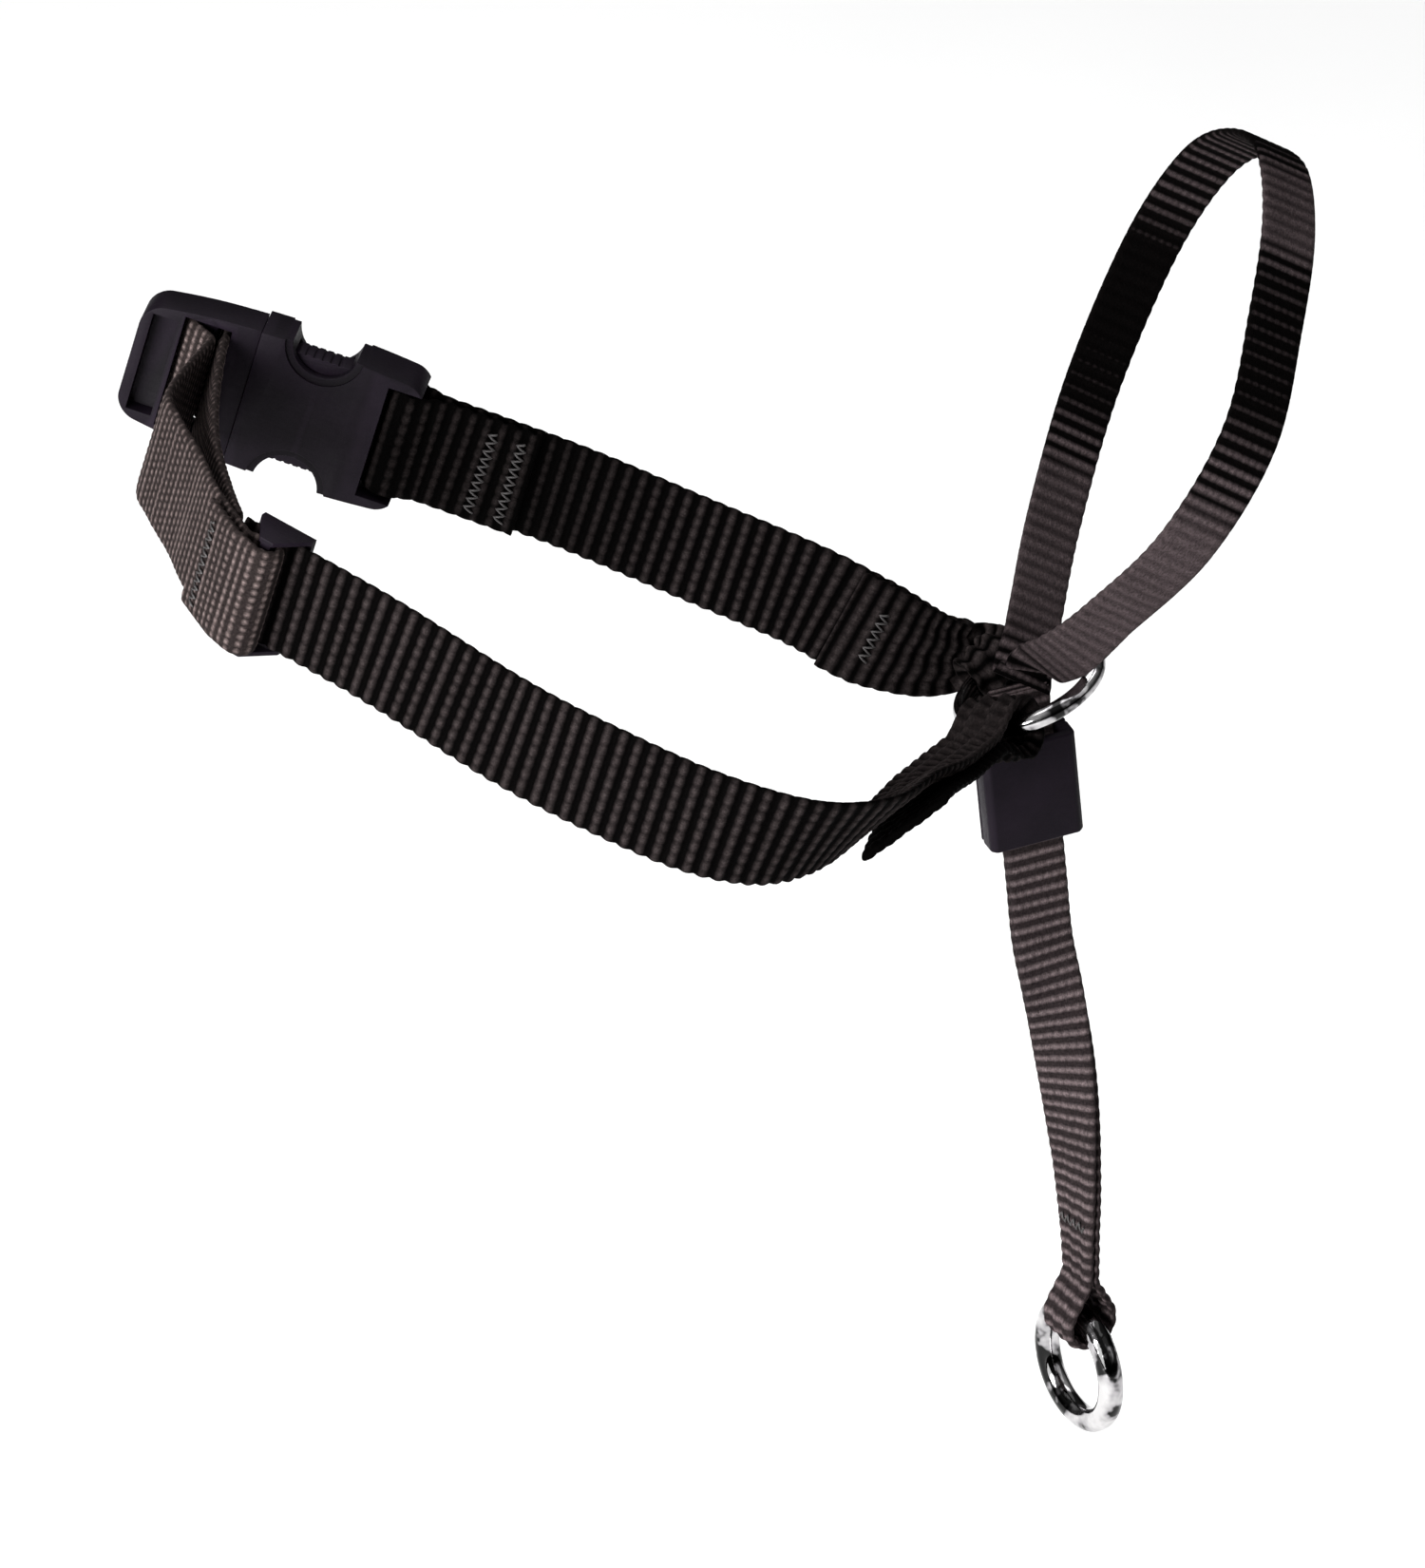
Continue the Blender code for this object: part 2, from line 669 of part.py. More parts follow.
def strap_slider(finish):
    """A tri-glide whose end bars lie under the near strap and whose centre bar lies over it."""
    under = NECK_THICK / 2 + GAP
    bottom = -under - SLIDER_BAR_THICK
    half_bar = SLIDER_BAR / 2
    bar_top = slider_bar_rise() + SLIDER_BAR_THICK / 2
    half_long = SLIDER_LENGTH / 2
    half_wide = SLIDER_WIDTH / 2
    profile = [
        (-half_long, bottom),
        (-half_long, under),
        (-half_bar - GAP, bar_top),
        (half_bar + GAP, bar_top),
        (half_long, under),
        (half_long, bottom),
    ]
    side_on = frame(SLIDER_AT, SLIDER_AXIS, SLIDER_OUT, -NECK_ACROSS)
    body = prism("strap_slider", profile, -half_wide, half_wide, side_on, finish)
    flat = frame(SLIDER_AT, SLIDER_AXIS, NECK_ACROSS, SLIDER_OUT)
    window = rectangle(-half_long + SLIDER_BAR, half_long - SLIDER_BAR, -SLOT_HALF, SLOT_HALF)
    path = rectangle(-CUT_THROUGH, CUT_THROUGH, -SLOT_HALF, SLOT_HALF)
    bar = rectangle(-half_bar, half_bar, -half_wide + 0.0004, half_wide - 0.0004)
    steps = (
        ("slider_window_cutter", window, -CUT_THROUGH, CUT_THROUGH, "DIFFERENCE"),
        ("slider_strap_path_cutter", path, -under, CUT_THROUGH, "DIFFERENCE"),
        ("slider_centre_bar", bar, bar_top - SLIDER_BAR_THICK, bar_top, "UNION"),
    )
    for name, outline, low, high, operation in steps:
        combine(body, prism(name, outline, low, high, flat, None), operation)
    return body


def clamp_frame():
    """X across the tail, Y away from its face, Z up along it."""
    return frame(tail_point(CLAMP_DROP), TAIL_ACROSS, -TAIL_FACE, -TAIL_DOWN)


def clamp(finish):
    """A sleeve in two halves: a body with a channel for the tail, and a hinged gate."""
    place = clamp_frame()
    half_wide, half_high = CLAMP_WIDTH / 2, CLAMP_HEIGHT / 2
    back, front = -CLAMP_THICK / 2, CLAMP_THICK / 2
    split = back + CLAMP_BACK
    channel = NOSE_WIDTH / 2 + 0.0005
    floor = -(NOSE_THICK + GAP / 2 + GAP)
    body_outline = [
        (-half_wide, split),
        (-half_wide, back + CLAMP_CORNER),
        (-half_wide + CLAMP_CORNER, back),
        (half_wide - CLAMP_CORNER, back),
        (half_wide, back + CLAMP_CORNER),
        (half_wide, split),
        (channel, split),
        (channel, floor),
        (-channel, floor),
        (-channel, split),
    ]
    prism("clamp_body", body_outline, -half_high, half_high, place, finish)
    pin = (-half_wide + CLAMP_CORNER, split + CLAMP_CORNER)
    gate_outline = [
        (-half_wide, split + CLAMP_CORNER),
        (-half_wide + CLAMP_CORNER, split + GAP),
        (half_wide, split + GAP),
        (half_wide, front - CLAMP_CORNER),
        (half_wide - CLAMP_CORNER, front),
        (-half_wide + CLAMP_CORNER, front),
    ]
    local = [(x - pin[0], y - pin[1]) for x, y in gate_outline]
    gate_place = place @ Matrix.Translation((*pin, 0))
    prism("clamp_gate", local, -half_high, half_high, gate_place, finish)


# --- stitching


def station_at(stations, distance):
    """The framed station a distance along a strap, between the two it falls between."""
    framed = with_normals(stations)
    for before, here in zip(framed, framed[1:]):
        step = (here[0] - before[0]).length
        if step >= distance:
            break
        distance -= step
    share = distance / step
    return [a + (b - a) * share for a, b in zip(before, here)]


def bartack(name, stations, distance, side, width, finish):
    """One row of thread across a strap, a distance along its stations, on the given face."""
    centre, across, _, out = station_at(stations, distance)
    across = across.normalized()
    out = square_to(out, across) * side
    thick = NECK_THICK if width > NOSE_WIDTH else NOSE_THICK
    place = frame(centre + out * (thick / 2 + THREAD_LIFT), across, out.cross(across), out)
    outline = rectangle(-width / 2, width / 2, -THREAD_ROW / 2, THREAD_ROW / 2)
    prism(name, outline, 0, THREAD_THICK, place, finish)


def stitching(bar_ply, far_ring_ply, near_ring_ply, adjuster_ply, tail_front, finish):
    bartack("bartack_buckle_first", bar_ply, 0.009, 1, 0.015, finish)
    bartack("bartack_buckle_second", bar_ply, 0.014, 1, 0.015, finish)
    bartack("bartack_far_ring", far_ring_ply, 0.019, -1, 0.0090, finish)
    bartack("bartack_near_ring", near_ring_ply, 0.018, -1, 0.0090, finish)
    bartack("bartack_slider", adjuster_ply, 0.006, -1, 0.015, finish)
    bartack("bartack_tail", tail_front, 0.054, 1, 0.0066, finish)


def main():
    clear_scene()
    nylon = material("webbing", BLACK, 0.85)
    plastic = material("plastic", AUBERGINE, 0.45)
    steel = material("chrome", CHROME, 0.12, 1.0)
    thread = material("thread", THREAD, 0.8)

    bar_ply, far_ring_ply = far_strap(nylon)
    near_ring_ply = near_strap(nylon)
    adjuster_ply = adjuster_strap(nylon)
    nose_loop(nylon)
    tail_plies(nylon)
    tail_front = tail_lower(nylon)

    stitching(bar_ply, far_ring_ply, near_ring_ply, adjuster_ply, tail_front, thread)

    ring("centre_ring", frame(RING, RING_X, RING_Y, RING_NORMAL), CENTRE_RING_RADIUS,
         CENTRE_RING_WIRE, steel)
    leash_place = frame(LEASH_EYE, LEASH_ACROSS, -DOWN, LEASH_ACROSS.cross(-DOWN))
    drop = Matrix.Translation((0, -LEASH_RING_RADIUS, 0))
    ring("leash_ring", leash_place @ drop, LEASH_RING_RADIUS, LEASH_RING_WIRE, steel)

    female_housing(plastic)
    male_frame(plastic)
    latch_arm("upper", 1, plastic)
    latch_arm("lower", -1, plastic)
    strap_slider(plastic)
    clamp(plastic)


main()
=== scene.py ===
"""A dog head halter's looks: woven nylon straps, a side-release buckle, steel rings and a clamp.

Metres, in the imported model's own frame: +Z up, -Y towards the near side of the neck.
"""

import math
import random
from collections import namedtuple

import bmesh
import bpy
from mathutils import Matrix, Vector


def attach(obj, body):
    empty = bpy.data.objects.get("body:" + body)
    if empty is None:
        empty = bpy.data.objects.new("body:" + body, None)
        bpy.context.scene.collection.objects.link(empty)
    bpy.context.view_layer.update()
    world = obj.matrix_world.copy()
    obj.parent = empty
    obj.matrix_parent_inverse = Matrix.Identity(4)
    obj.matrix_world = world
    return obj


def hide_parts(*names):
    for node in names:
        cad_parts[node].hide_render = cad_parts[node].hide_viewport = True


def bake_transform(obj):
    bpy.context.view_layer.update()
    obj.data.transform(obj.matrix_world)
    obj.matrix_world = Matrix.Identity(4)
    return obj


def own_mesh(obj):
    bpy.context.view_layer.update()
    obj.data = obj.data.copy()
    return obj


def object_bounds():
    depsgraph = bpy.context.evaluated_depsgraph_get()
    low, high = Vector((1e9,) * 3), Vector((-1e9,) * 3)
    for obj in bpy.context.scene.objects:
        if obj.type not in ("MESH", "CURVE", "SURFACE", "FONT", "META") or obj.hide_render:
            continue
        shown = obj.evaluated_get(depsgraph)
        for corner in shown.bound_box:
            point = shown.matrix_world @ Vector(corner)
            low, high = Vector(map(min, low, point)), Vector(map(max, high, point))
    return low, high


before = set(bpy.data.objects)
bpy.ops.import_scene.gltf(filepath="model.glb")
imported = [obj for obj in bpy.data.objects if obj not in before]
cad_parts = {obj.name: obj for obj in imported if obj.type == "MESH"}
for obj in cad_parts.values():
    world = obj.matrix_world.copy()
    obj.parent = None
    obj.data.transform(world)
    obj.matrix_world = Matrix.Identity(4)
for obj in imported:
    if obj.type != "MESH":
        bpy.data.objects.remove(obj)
CAD_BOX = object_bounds()

GAP = 0.0003  # between pieces that touch, and between the two plies of a sewn strap

# Webbing: a rib every pitch along it, broken into lumps where its yarns pass over and under
Weave = namedtuple("Weave", "width thick pitch yarns depth lump scallop columns seed")
NECK_WEAVE = Weave(0.019, 0.0016, 0.0026, 9, 0.00055, 0.30, 0.030, 55, 11)
LOOP_WEAVE = Weave(0.019, 0.0016, 0.0016, 14, 0.00018, 0.60, 0.012, 57, 17)
NOSE_WEAVE = Weave(0.010, 0.0012, 0.0023, 7, 0.00024, 0.22, 0.016, 31, 23)
FEED_WEAVE = Weave(0.0094, 0.0006, 0.0020, 7, 0.00012, 0.22, 0.010, 31, 31)
ROWS_PER_RIB = 8

SELVEDGE_PLACES = (0.968, 0.99, 1.0)  # the last points across a face, where its edge rounds over
INNER_REACH = 0.94
SELVEDGE_POWER = 14  # a higher power keeps the face flat nearer to its edge
# how light a face is painted at its edge, where it rounds over, as painted shade
SELVEDGE_PAINTED_SHADE = 0.55
RIB_POWER = 1.6
YARN_SHIFTS = 3  # ribs before the yarns line up again
GATHERS = 3
LOFT_COUNT = 37
LOFT_RANGE = (0.6, 1.3)

# Painted light (1) and painted shade (-1) along each strap, by share of its whole path
EVEN_PAINTED_LIGHT = ((0.0, 0.0), (1.0, 0.0))
FAR_PAINTED_LIGHT = ((0.0, -0.3), (0.3, -0.5), (0.45, 0.0), (0.6, 0.1), (0.7, 0.7), (0.76, 0.3), (1.0, 0.3))
NEAR_PAINTED_LIGHT = ((0.0, 0.0), (0.56, 0.0), (0.64, 0.4), (0.72, 0.9), (0.78, 0.3), (0.84, -0.8), (1.0, -0.8))
NOSE_PAINTED_LIGHT = (
    (0.0, -0.3), (0.04, 0.8), (0.20, 0.9), (0.25, 0.0), (0.30, -0.7), (0.39, -0.5),
    (0.42, 0.8), (0.475, 0.7), (0.51, -0.9), (0.57, -0.2), (0.64, -0.2),
    (0.69, -1.0), (0.79, -0.7), (0.85, 0.7), (0.95, 0.8), (1.0, 0.0),
)
PAINTED_LIGHT_LEVEL = 0.84  # how light painted light makes the webbing, on the scale from a groove to a crest
# how far painted shade darkens the crests
PAINTED_SHADE_DULLING = 0.75
FLANK_PAINTED_SHADE = 0.42  # a rib's flank, painted in half shade, as a share of its groove's and its crest's colours together
CREST_RISE = 0.00008  # how far a rib's top stands above half the webbing's thickness
FOLD_RISE = 0.0013  # height of the gathers where wide webbing is bunched into an eye
BUNCHED_WIDTH = 0.0105
TAIL_EYE_WIDTH = 0.0084
CURVE_STEP = 0.0009
EYE_TAPER = 1.7  # how far before an eye its plies part, in radii of the eye
EYE_STEPS = 34
FAR_RING_SEWN = 0.024  # lengths of webbing sewn back along a strap
FAR_BAR_SEWN = 0.017
NEAR_RING_SEWN = 0.036
ADJUSTER_SEWN = 0.010

# Rings: radius to the middle of the wire, and the wire's own radius
CENTRE_RING_RADIUS = 0.0115
CENTRE_RING_WIRE = 0.0015
LEASH_RING_RADIUS = 0.0098
LEASH_RING_WIRE = 0.0021
RING_EYE_BORE = 0.0035
FAR_EYE_TURN = 122  # where each strap's eye lies on the centre ring, in degrees
NEAR_EYE_TURN = 243
WELD_RISE = 0.05  # a share of the wire's radius
WELD_TURN = 0.9
WELD_SPREAD = 0.035
TAIL_EYE_BORE = 0.0038

# Buckle: distances along it are from the bar that holds the far strap
FEMALE_START = -0.0028
FEMALE_END = 0.0255
HOUSING_WIDTH = 0.0244
HOUSING_THICK = 0.0086
HOUSING_BOW = 0.0006
HOUSING_ROUND = 0.0003
TUNNEL_WIDTH = 0.0204
TUNNEL_HEIGHT = 0.0048
TUNNEL_BOTTOM = 0.0054
SLOT_HALF = 0.0101
BAR_SIZE = 0.0030
BAR_BORE = 0.0024
NOTCH_ALONG = 0.0150
NOTCH_RADIUS = 0.0054
NOTCH_OUTSET = 0.0008  # from the housing's side out to the middle of a notch
DISH_RADIUS = 0.0066
DISH_DEPTH = 0.0005
MALE_START = 0.0256
MALE_BAR = 0.0340
MALE_END = 0.0448
MALE_THICK = 0.0070
MALE_TAPER = 0.0022
MALE_INSET = 0.0002
MALE_BOW = 0.0004
MALE_ROUND = 0.00032
END_HALF = 0.0113  # half the female half's width where the strap leaves it
END_CORNER = 0.0034
FEMALE_REACH = 0.0036  # from the middle of a bar to the walls that its webbing lies against
MALE_REACH = 0.0039
RECESS = (0.0388, 0.0430)  # the trough across both faces of the male half's outer end
RECESS_DEPTH = 0.0030
RECESS_HALF = 0.0088
GUIDE_TIP = 0.0090
GUIDE_WIDTH = 0.0034
GUIDE_THICK = 0.0038
TONGUE = 0.0012  # how far the short tongues beside the guide reach into the tunnel
TONGUE_SPANS = ((0.0020, 0.0062), (0.0091, 0.0100))
ARM_ROOT = 0.0257
ARM_TIP = 0.0070
ARM_THICK = 0.0040
ARM_PIVOT = 0.0076
ARM_ROUND = 0.00025
PRONG_OVERLAP = 0.001
CUT_THROUGH = 0.010  # half the length of a cutter that goes right through
CUT_BEYOND = 0.005

# Tri-glide slider
SLIDER_WIDTH = 0.0208
SLIDER_LENGTH = 0.0096
SLIDER_RAIL = 0.0012
SLIDER_SLOT_HALF = 0.00965
SLIDER_BAR = 0.0018
SLIDER_BAR_THICK = 0.0013
SLIDER_BAR_INSET = 0.0004
SLIDER_BORE = 0.0015
SLIDER_ROUND = 0.00035

# Clamp on the two tails of the nose webbing
CLAMP_DROP = 0.0182
CLAMP_WIDTH = 0.0160
CLAMP_HEIGHT = 0.0186
CLAMP_THICK = 0.0066
CLAMP_BACK = 0.0045
CLAMP_CORNER = 0.0009
CLAMP_ROOM = 0.0005  # between the tail's edges and the channel's walls
CLAMP_ROUND = 0.0005
GATE_ROUND = 0.0004
TAIL_DROPS = (0.0004, 0.012, 0.025, 0.036)
FEED_DROPS = (0, 0.036)
TAIL_BEND_DROP = 0.0470

THREAD_RADIUS = 0.00019
THREAD_ROW = 0.0017
THREAD_ARCH = 0.00028
THREAD_DIP = 0.00016
THREAD_LIFT = 0.00022
STITCH_PITCH = 0.00075

SHARP_EDGE = math.radians(50)

# The view: the camera looks along +Y, 30 degrees downwards, through a long lens
LENS = 220.0
SENSOR = 36.0
VIEW_HEIGHT = 0.250
FLOOR_DROP = 0.032  # the neck holds the halter up, and leaves room below to pull its tail out
VIEW_ELEVATION = math.radians(30)


def mm(x, y, z):
    return Vector((x, y, z)) * 0.001


RING = mm(75, 18, -22)  # centre of the steel ring that joins the straps


def at(x, y, z):
    """A point given in millimetres from the centre of the steel ring."""
    return RING + mm(x, y, z)


def unit(x, y, z):
    return Vector((x, y, z)).normalized()


def square_to(vector, axis):
    """The part of vector square to axis, at unit length."""
    return (vector - axis * vector.dot(axis)).normalized()


def between(a, b, share):
    return a.lerp(b, share).normalized()


VIEW_AIM = at(-50.5, -7.8, -13.5)

# The neck loop lies in a plane that rises towards the buckle, and its width stands square to it.
NECK_ACROSS = unit(0.284, 0, 0.959)
RING_NORMAL = unit(-0.38, 0, 0.925)
RING_X = unit(0.925, 0, 0.38)
RING_Y = Vector((0, 1, 0))

# The nose loop's own plane: up along it, towards its near leg, and the webbing's width
NOSE_UP = unit(0.382, 0.437, 0.815)
NOSE_NEAR = square_to(unit(0.373, -0.879, 0.297), NOSE_UP)
NOSE_ACROSS = NOSE_NEAR.cross(NOSE_UP)

BUCKLE_BAR = at(-101, 28, 30)
BUCKLE_AXIS = square_to(unit(-0.95, 0.155, 0.285), NECK_ACROSS)
BUCKLE_OUT = BUCKLE_AXIS.cross(NECK_ACROSS)

SLIDER_AT = at(-119.5, -33.2, 36.3)
SLIDER_AXIS = square_to(unit(0.834, -0.492, -0.247), NECK_ACROSS)  # towards the ring
SLIDER_OUT = SLIDER_AXIS.cross(NECK_ACROSS)

TAIL_TOP = at(-1.8, 0, 0)
TAIL_DOWN = unit(0.1, 0, -1)
TAIL_YAW = math.radians(19)
TAIL_ACROSS = square_to(unit(math.cos(TAIL_YAW), math.sin(TAIL_YAW), 0), TAIL_DOWN)
TAIL_FACE = TAIL_DOWN.cross(TAIL_ACROSS)  # towards the near side
LEASH_EYE = at(10.4, 0, -119.3)
LEASH_ACROSS = unit(0.51, -0.857, 0)
TAIL_BOW = 0.0016
DOWN = Vector((0, 0, -1))


# --- materials


def new_material(name):
    made = bpy.data.materials.new(name)
    made.use_nodes = True
    tree = made.node_tree
    return made, tree, tree.nodes["Principled BSDF"]


def set_inputs(shader, **values):
    """Sets a shader node's inputs, named by their socket with _ for a space."""
    for name, value in values.items():
        shader.inputs[name.replace("_", " ")].default_value = value


def node(tree, kind, **values):
    made = tree.nodes.new(kind)
    set_inputs(made, **values)
    return made


def noise(tree, coordinates, scale, detail=3.0, roughness=0.5):
    """The factor of a noise, finer for a larger scale."""
    made = node(tree, "ShaderNodeTexNoise", Scale=scale, Detail=detail, Roughness=roughness)
    tree.links.new(coordinates, made.inputs["Vector"])
    return made.outputs["Fac"]


def stretched(tree, coordinates, scale):
    made = node(tree, "ShaderNodeMapping", Scale=scale)
    tree.links.new(coordinates, made.inputs["Vector"])
    return made.outputs["Vector"]


def coordinates(tree, kind):
    return tree.nodes.new("ShaderNodeTexCoord").outputs[kind]


def ramp(tree, factor, *stops):
    """A colour ramp through (place, colour) stops."""
    made = tree.nodes.new("ShaderNodeValToRGB")
    tree.links.new(factor, made.inputs["Fac"])
    points = made.color_ramp.elements
    while len(points) < len(stops):
        points.new(0.5)
    for point, (place, colour) in zip(points, stops):
        point.position = place
        point.color = (*colour, 1.0)
    return made.outputs["Color"]


def span(tree, factor, low, high, start=0.0, end=1.0):
    """A factor's range from start to end, turned into low to high."""
    made = tree.nodes.new("ShaderNodeMapRange")
    for name, value in (("From Min", start), ("From Max", end), ("To Min", low), ("To Max", high)):
        made.inputs[name].default_value = value
    tree.links.new(factor, made.inputs["Value"])
    return made.outputs["Result"]


def multiply(tree, first, second):
    made = tree.nodes.new("ShaderNodeMath")
    made.operation = "MULTIPLY"
    tree.links.new(first, made.inputs[0])
    tree.links.new(second, made.inputs[1])
    return made.outputs["Value"]


def tint(tree, colour, factor):
    """A colour made lighter or darker by a factor."""
    made = tree.nodes.new("ShaderNodeVectorMath")
    made.operation = "SCALE"
    tree.links.new(colour, made.inputs["Vector"])
    tree.links.new(factor, made.inputs["Scale"])
    return made.outputs["Vector"]


def bump(tree, height, distance, under=None):
    """A bump, on top of the one under it."""
    made = node(tree, "ShaderNodeBump", Strength=1.0, Distance=distance)
    tree.links.new(height, made.inputs["Height"])
    if under:
        tree.links.new(under, made.inputs["Normal"])
    return made.outputs["Normal"]


def feed(tree, shader, colour, roughness, normal=None):
    """Links a surface's colour, roughness and normal to its shader."""
    for name, output in (("Base Color", colour), ("Roughness", roughness), ("Normal", normal)):
        if output:
            tree.links.new(output, shader.inputs[name])


def nylon(name, groove, crest, sheen):
    """Woven nylon, painted dark between its ribs as painted shade and light on their crests as
    painted highlight, with fibres that run along the webbing and a light fuzz.
    """
    made, tree, shader = new_material(name)
    flat = coordinates(tree, "UV")
    solid = coordinates(tree, "Object")
    height = node(tree, "ShaderNodeAttribute")
    height.attribute_name = "crest"
    fibres = noise(tree, stretched(tree, flat, (7000, 900, 1)), 1.0, 4.0, 0.6)
    fuzz = noise(tree, solid, 2600, 3.0, 0.7)
    patches = noise(tree, solid, 70, 3.0, 0.6)
    # the ramp paints shade in the grooves, half shade on the flanks and a highlight on the crests
    flank_half_shade = [(g + c) * FLANK_PAINTED_SHADE for g, c in zip(groove, crest)]
    colour = ramp(tree, height.outputs["Fac"], (0.35, groove), (0.72, flank_half_shade), (1.0, crest))
    lit = multiply(tree, span(tree, fibres, 0.5, 1.5, 0.25, 0.75), span(tree, patches, 0.7, 1.3))
    lit = multiply(tree, lit, span(tree, fuzz, 0.55, 1.5, 0.3, 0.7))
    soft = bump(tree, fibres, 0.00010, bump(tree, fuzz, 0.00012))
    feed(tree, shader, tint(tree, colour, lit), span(tree, fibres, 0.55, 0.85), soft)
    set_inputs(shader, Specular_IOR_Level=0.01, Sheen_Weight=sheen, Sheen_Roughness=0.45)
    set_inputs(shader, Sheen_Tint=(0.78, 0.68, 0.68, 1.0))
    return made


def moulded_plastic():
    """Matt moulded nylon: a fine grain, faint flow marks, and sharp edges painted lighter, as rubbed
    wear and painted highlight, with hollows a little darker as painted shade.
    """
    made, tree, shader = new_material("moulded_plastic")
    solid = coordinates(tree, "Object")
    grain = noise(tree, solid, 3800, 2.0, 0.6)
    clouds = noise(tree, solid, 120, 3.0, 0.5)
    scratches = noise(tree, stretched(tree, solid, (300, 2600, 900)), 1.0, 4.0, 0.7)
    geometry = tree.nodes.new("ShaderNodeNewGeometry")
    # lighter on sharp edges, as rubbed wear and painted highlight, and darker in hollows, as painted
    # shade
    edge_wear_and_highlight = span(tree, geometry.outputs["Pointiness"], 0.85, 2.2, 0.49, 0.56)
    colour = ramp(tree, clouds, (0.3, (0.0022, 0.0015, 0.0026)), (0.7, (0.0036, 0.0024, 0.0042)))
    worn = bump(tree, grain, 0.00003, bump(tree, scratches, 0.00001))
    gloss = span(tree, scratches, 0.40, 0.60, 0.3, 0.7)
    feed(tree, shader, tint(tree, colour, edge_wear_and_highlight), gloss, worn)
    set_inputs(shader, Specular_IOR_Level=0.05)
    return made


def ring_steel():
    """Plated steel: bright, with dark cloudy bands painted in as reflections, and hairlines."""
    made, tree, shader = new_material("ring_steel")
    solid = coordinates(tree, "Object")
    lines = noise(tree, stretched(tree, solid, (900, 900, 5200)), 1.0, 3.0, 0.6)
    patches = noise(tree, solid, 160, 3.0, 0.6)
    # painted reflections: near-black bands between brighter streaks round the ring
    colour = ramp(tree, patches, (0.44, (0.02, 0.02, 0.02)), (0.50, (0.36, 0.35, 0.36)),
                  (0.66, (0.66, 0.65, 0.65)))
    gloss = span(tree, patches, 0.06, 0.16, 0.3, 0.7)
    feed(tree, shader, colour, gloss, bump(tree, lines, 0.000004))
    set_inputs(shader, Metallic=1.0)
    return made


def sewing_thread():
    """Dark twisted polyester thread."""
    made, tree, shader = new_material("sewing_thread")
    solid = coordinates(tree, "Object")
    twist = noise(tree, stretched(tree, solid, (5200, 5200, 2600)), 1.0, 2.0, 0.5)
    colour = ramp(tree, twist, (0.3, (0.004, 0.0034, 0.0034)), (0.7, (0.022, 0.018, 0.018)))
    feed(tree, shader, colour, span(tree, twist, 0.45, 0.65), bump(tree, twist, 0.00004))
    set_inputs(shader, Sheen_Weight=0.02)
    return made


def pale_floor():
    made, tree, shader = new_material("pale_floor")
    mottle = noise(tree, coordinates(tree, "Object"), 6.0, 3.0, 0.5)
    colour = ramp(tree, mottle, (0.3, (0.80, 0.80, 0.80)), (0.7, (0.83, 0.83, 0.83)))
    feed(tree, shader, colour, span(tree, mottle, 0.85, 0.95))
    set_inputs(shader, Specular_IOR_Level=0.1)
    return made


# --- objects


def placement(origin, x, y, z):
    """The placement whose axes are x, y and z."""
    turn = Matrix((x, y, z)).transposed().to_4x4()
    return Matrix.Translation(origin) @ turn


def add_object(name, mesh, place, finish=None):
    obj = bpy.data.objects.new(name, mesh)
    obj.matrix_world = place
    bpy.context.scene.collection.objects.link(obj)
    if finish:
        mesh.materials.append(finish)
    return obj


def mesh_from(name, points, faces):
    mesh = bpy.data.meshes.new(name)
    mesh.from_pydata(points, [], faces)
    made = bmesh.new()
    made.from_mesh(mesh)
    bmesh.ops.recalc_face_normals(made, faces=made.faces)
    made.to_mesh(mesh)
    made.free()
    return mesh


def stand_for(obj, body, slot, *nodes):
    """Moves obj with a body, in place of these CAD nodes."""
    if nodes:
        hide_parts(*nodes)
    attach(obj, body)


# --- paths: a station is (centre, direction across, width)


def curve_through(stations):
    """Stations about CURVE_STEP apart along a smooth curve through the given ones."""
    made = []
    last = len(stations) - 1
    for i in range(last):
        a, b, c, d = (stations[min(max(k, 0), last)] for k in (i - 1, i, i + 1, i + 2))
        count = max(1, round((c[0] - b[0]).length / CURVE_STEP))
        for k in range(count):
            made.append(blend_station(a, b, c, d, k / count))
    made.append(stations[last])
    return made


def blend_station(a, b, c, d, t):
    """The station a fraction t from b to c on a Catmull-Rom curve."""
    weights = (
        0.5 * (-t + 2 * t * t - t**3),
        0.5 * (2 - 5 * t * t + 3 * t**3),
        0.5 * (t + 4 * t * t - 3 * t**3),
        0.5 * (t**3 - t * t),
    )
    centre = sum((s[0] * w for s, w in zip((a, b, c, d), weights)), Vector())
    across = b[1].lerp(c[1], t).normalized()
    return centre, across, b[2] + (c[2] - b[2]) * t


def with_normals(stations):
    """Adds each station's direction out of the webbing's face, and squares its width to the path."""
    made = []
    for i, (centre, across, width) in enumerate(stations):
        before = stations[max(i - 1, 0)][0]
        after = stations[min(i + 1, len(stations) - 1)][0]
        along = (after - before).normalized()
        across = square_to(across, along)
        made.append((centre, across, width, along.cross(across)))
    return made


def mix_stations(a, b, share):
    centre = a[0].lerp(b[0], share)
    across = a[1].lerp(b[1], share).normalized()
    return centre, across, a[2] + (b[2] - a[2]) * share


def even_stations(stations, step):
    """The same path with its stations all the same distance apart."""
    runs = [0.0]
    for a, b in zip(stations, stations[1:]):
        runs.append(runs[-1] + (b[0] - a[0]).length)
    count = max(2, round(runs[-1] / step))
    made = []
    k = 0
    for i in range(count + 1):
        run = runs[-1] * i / count
        while k < len(runs) - 2 and runs[k + 1] < run:
            k += 1
        length = max(runs[k + 1] - runs[k], 1e-9)
        made.append(mix_stations(stations[k], stations[k + 1], (run - runs[k]) / length))
    return made


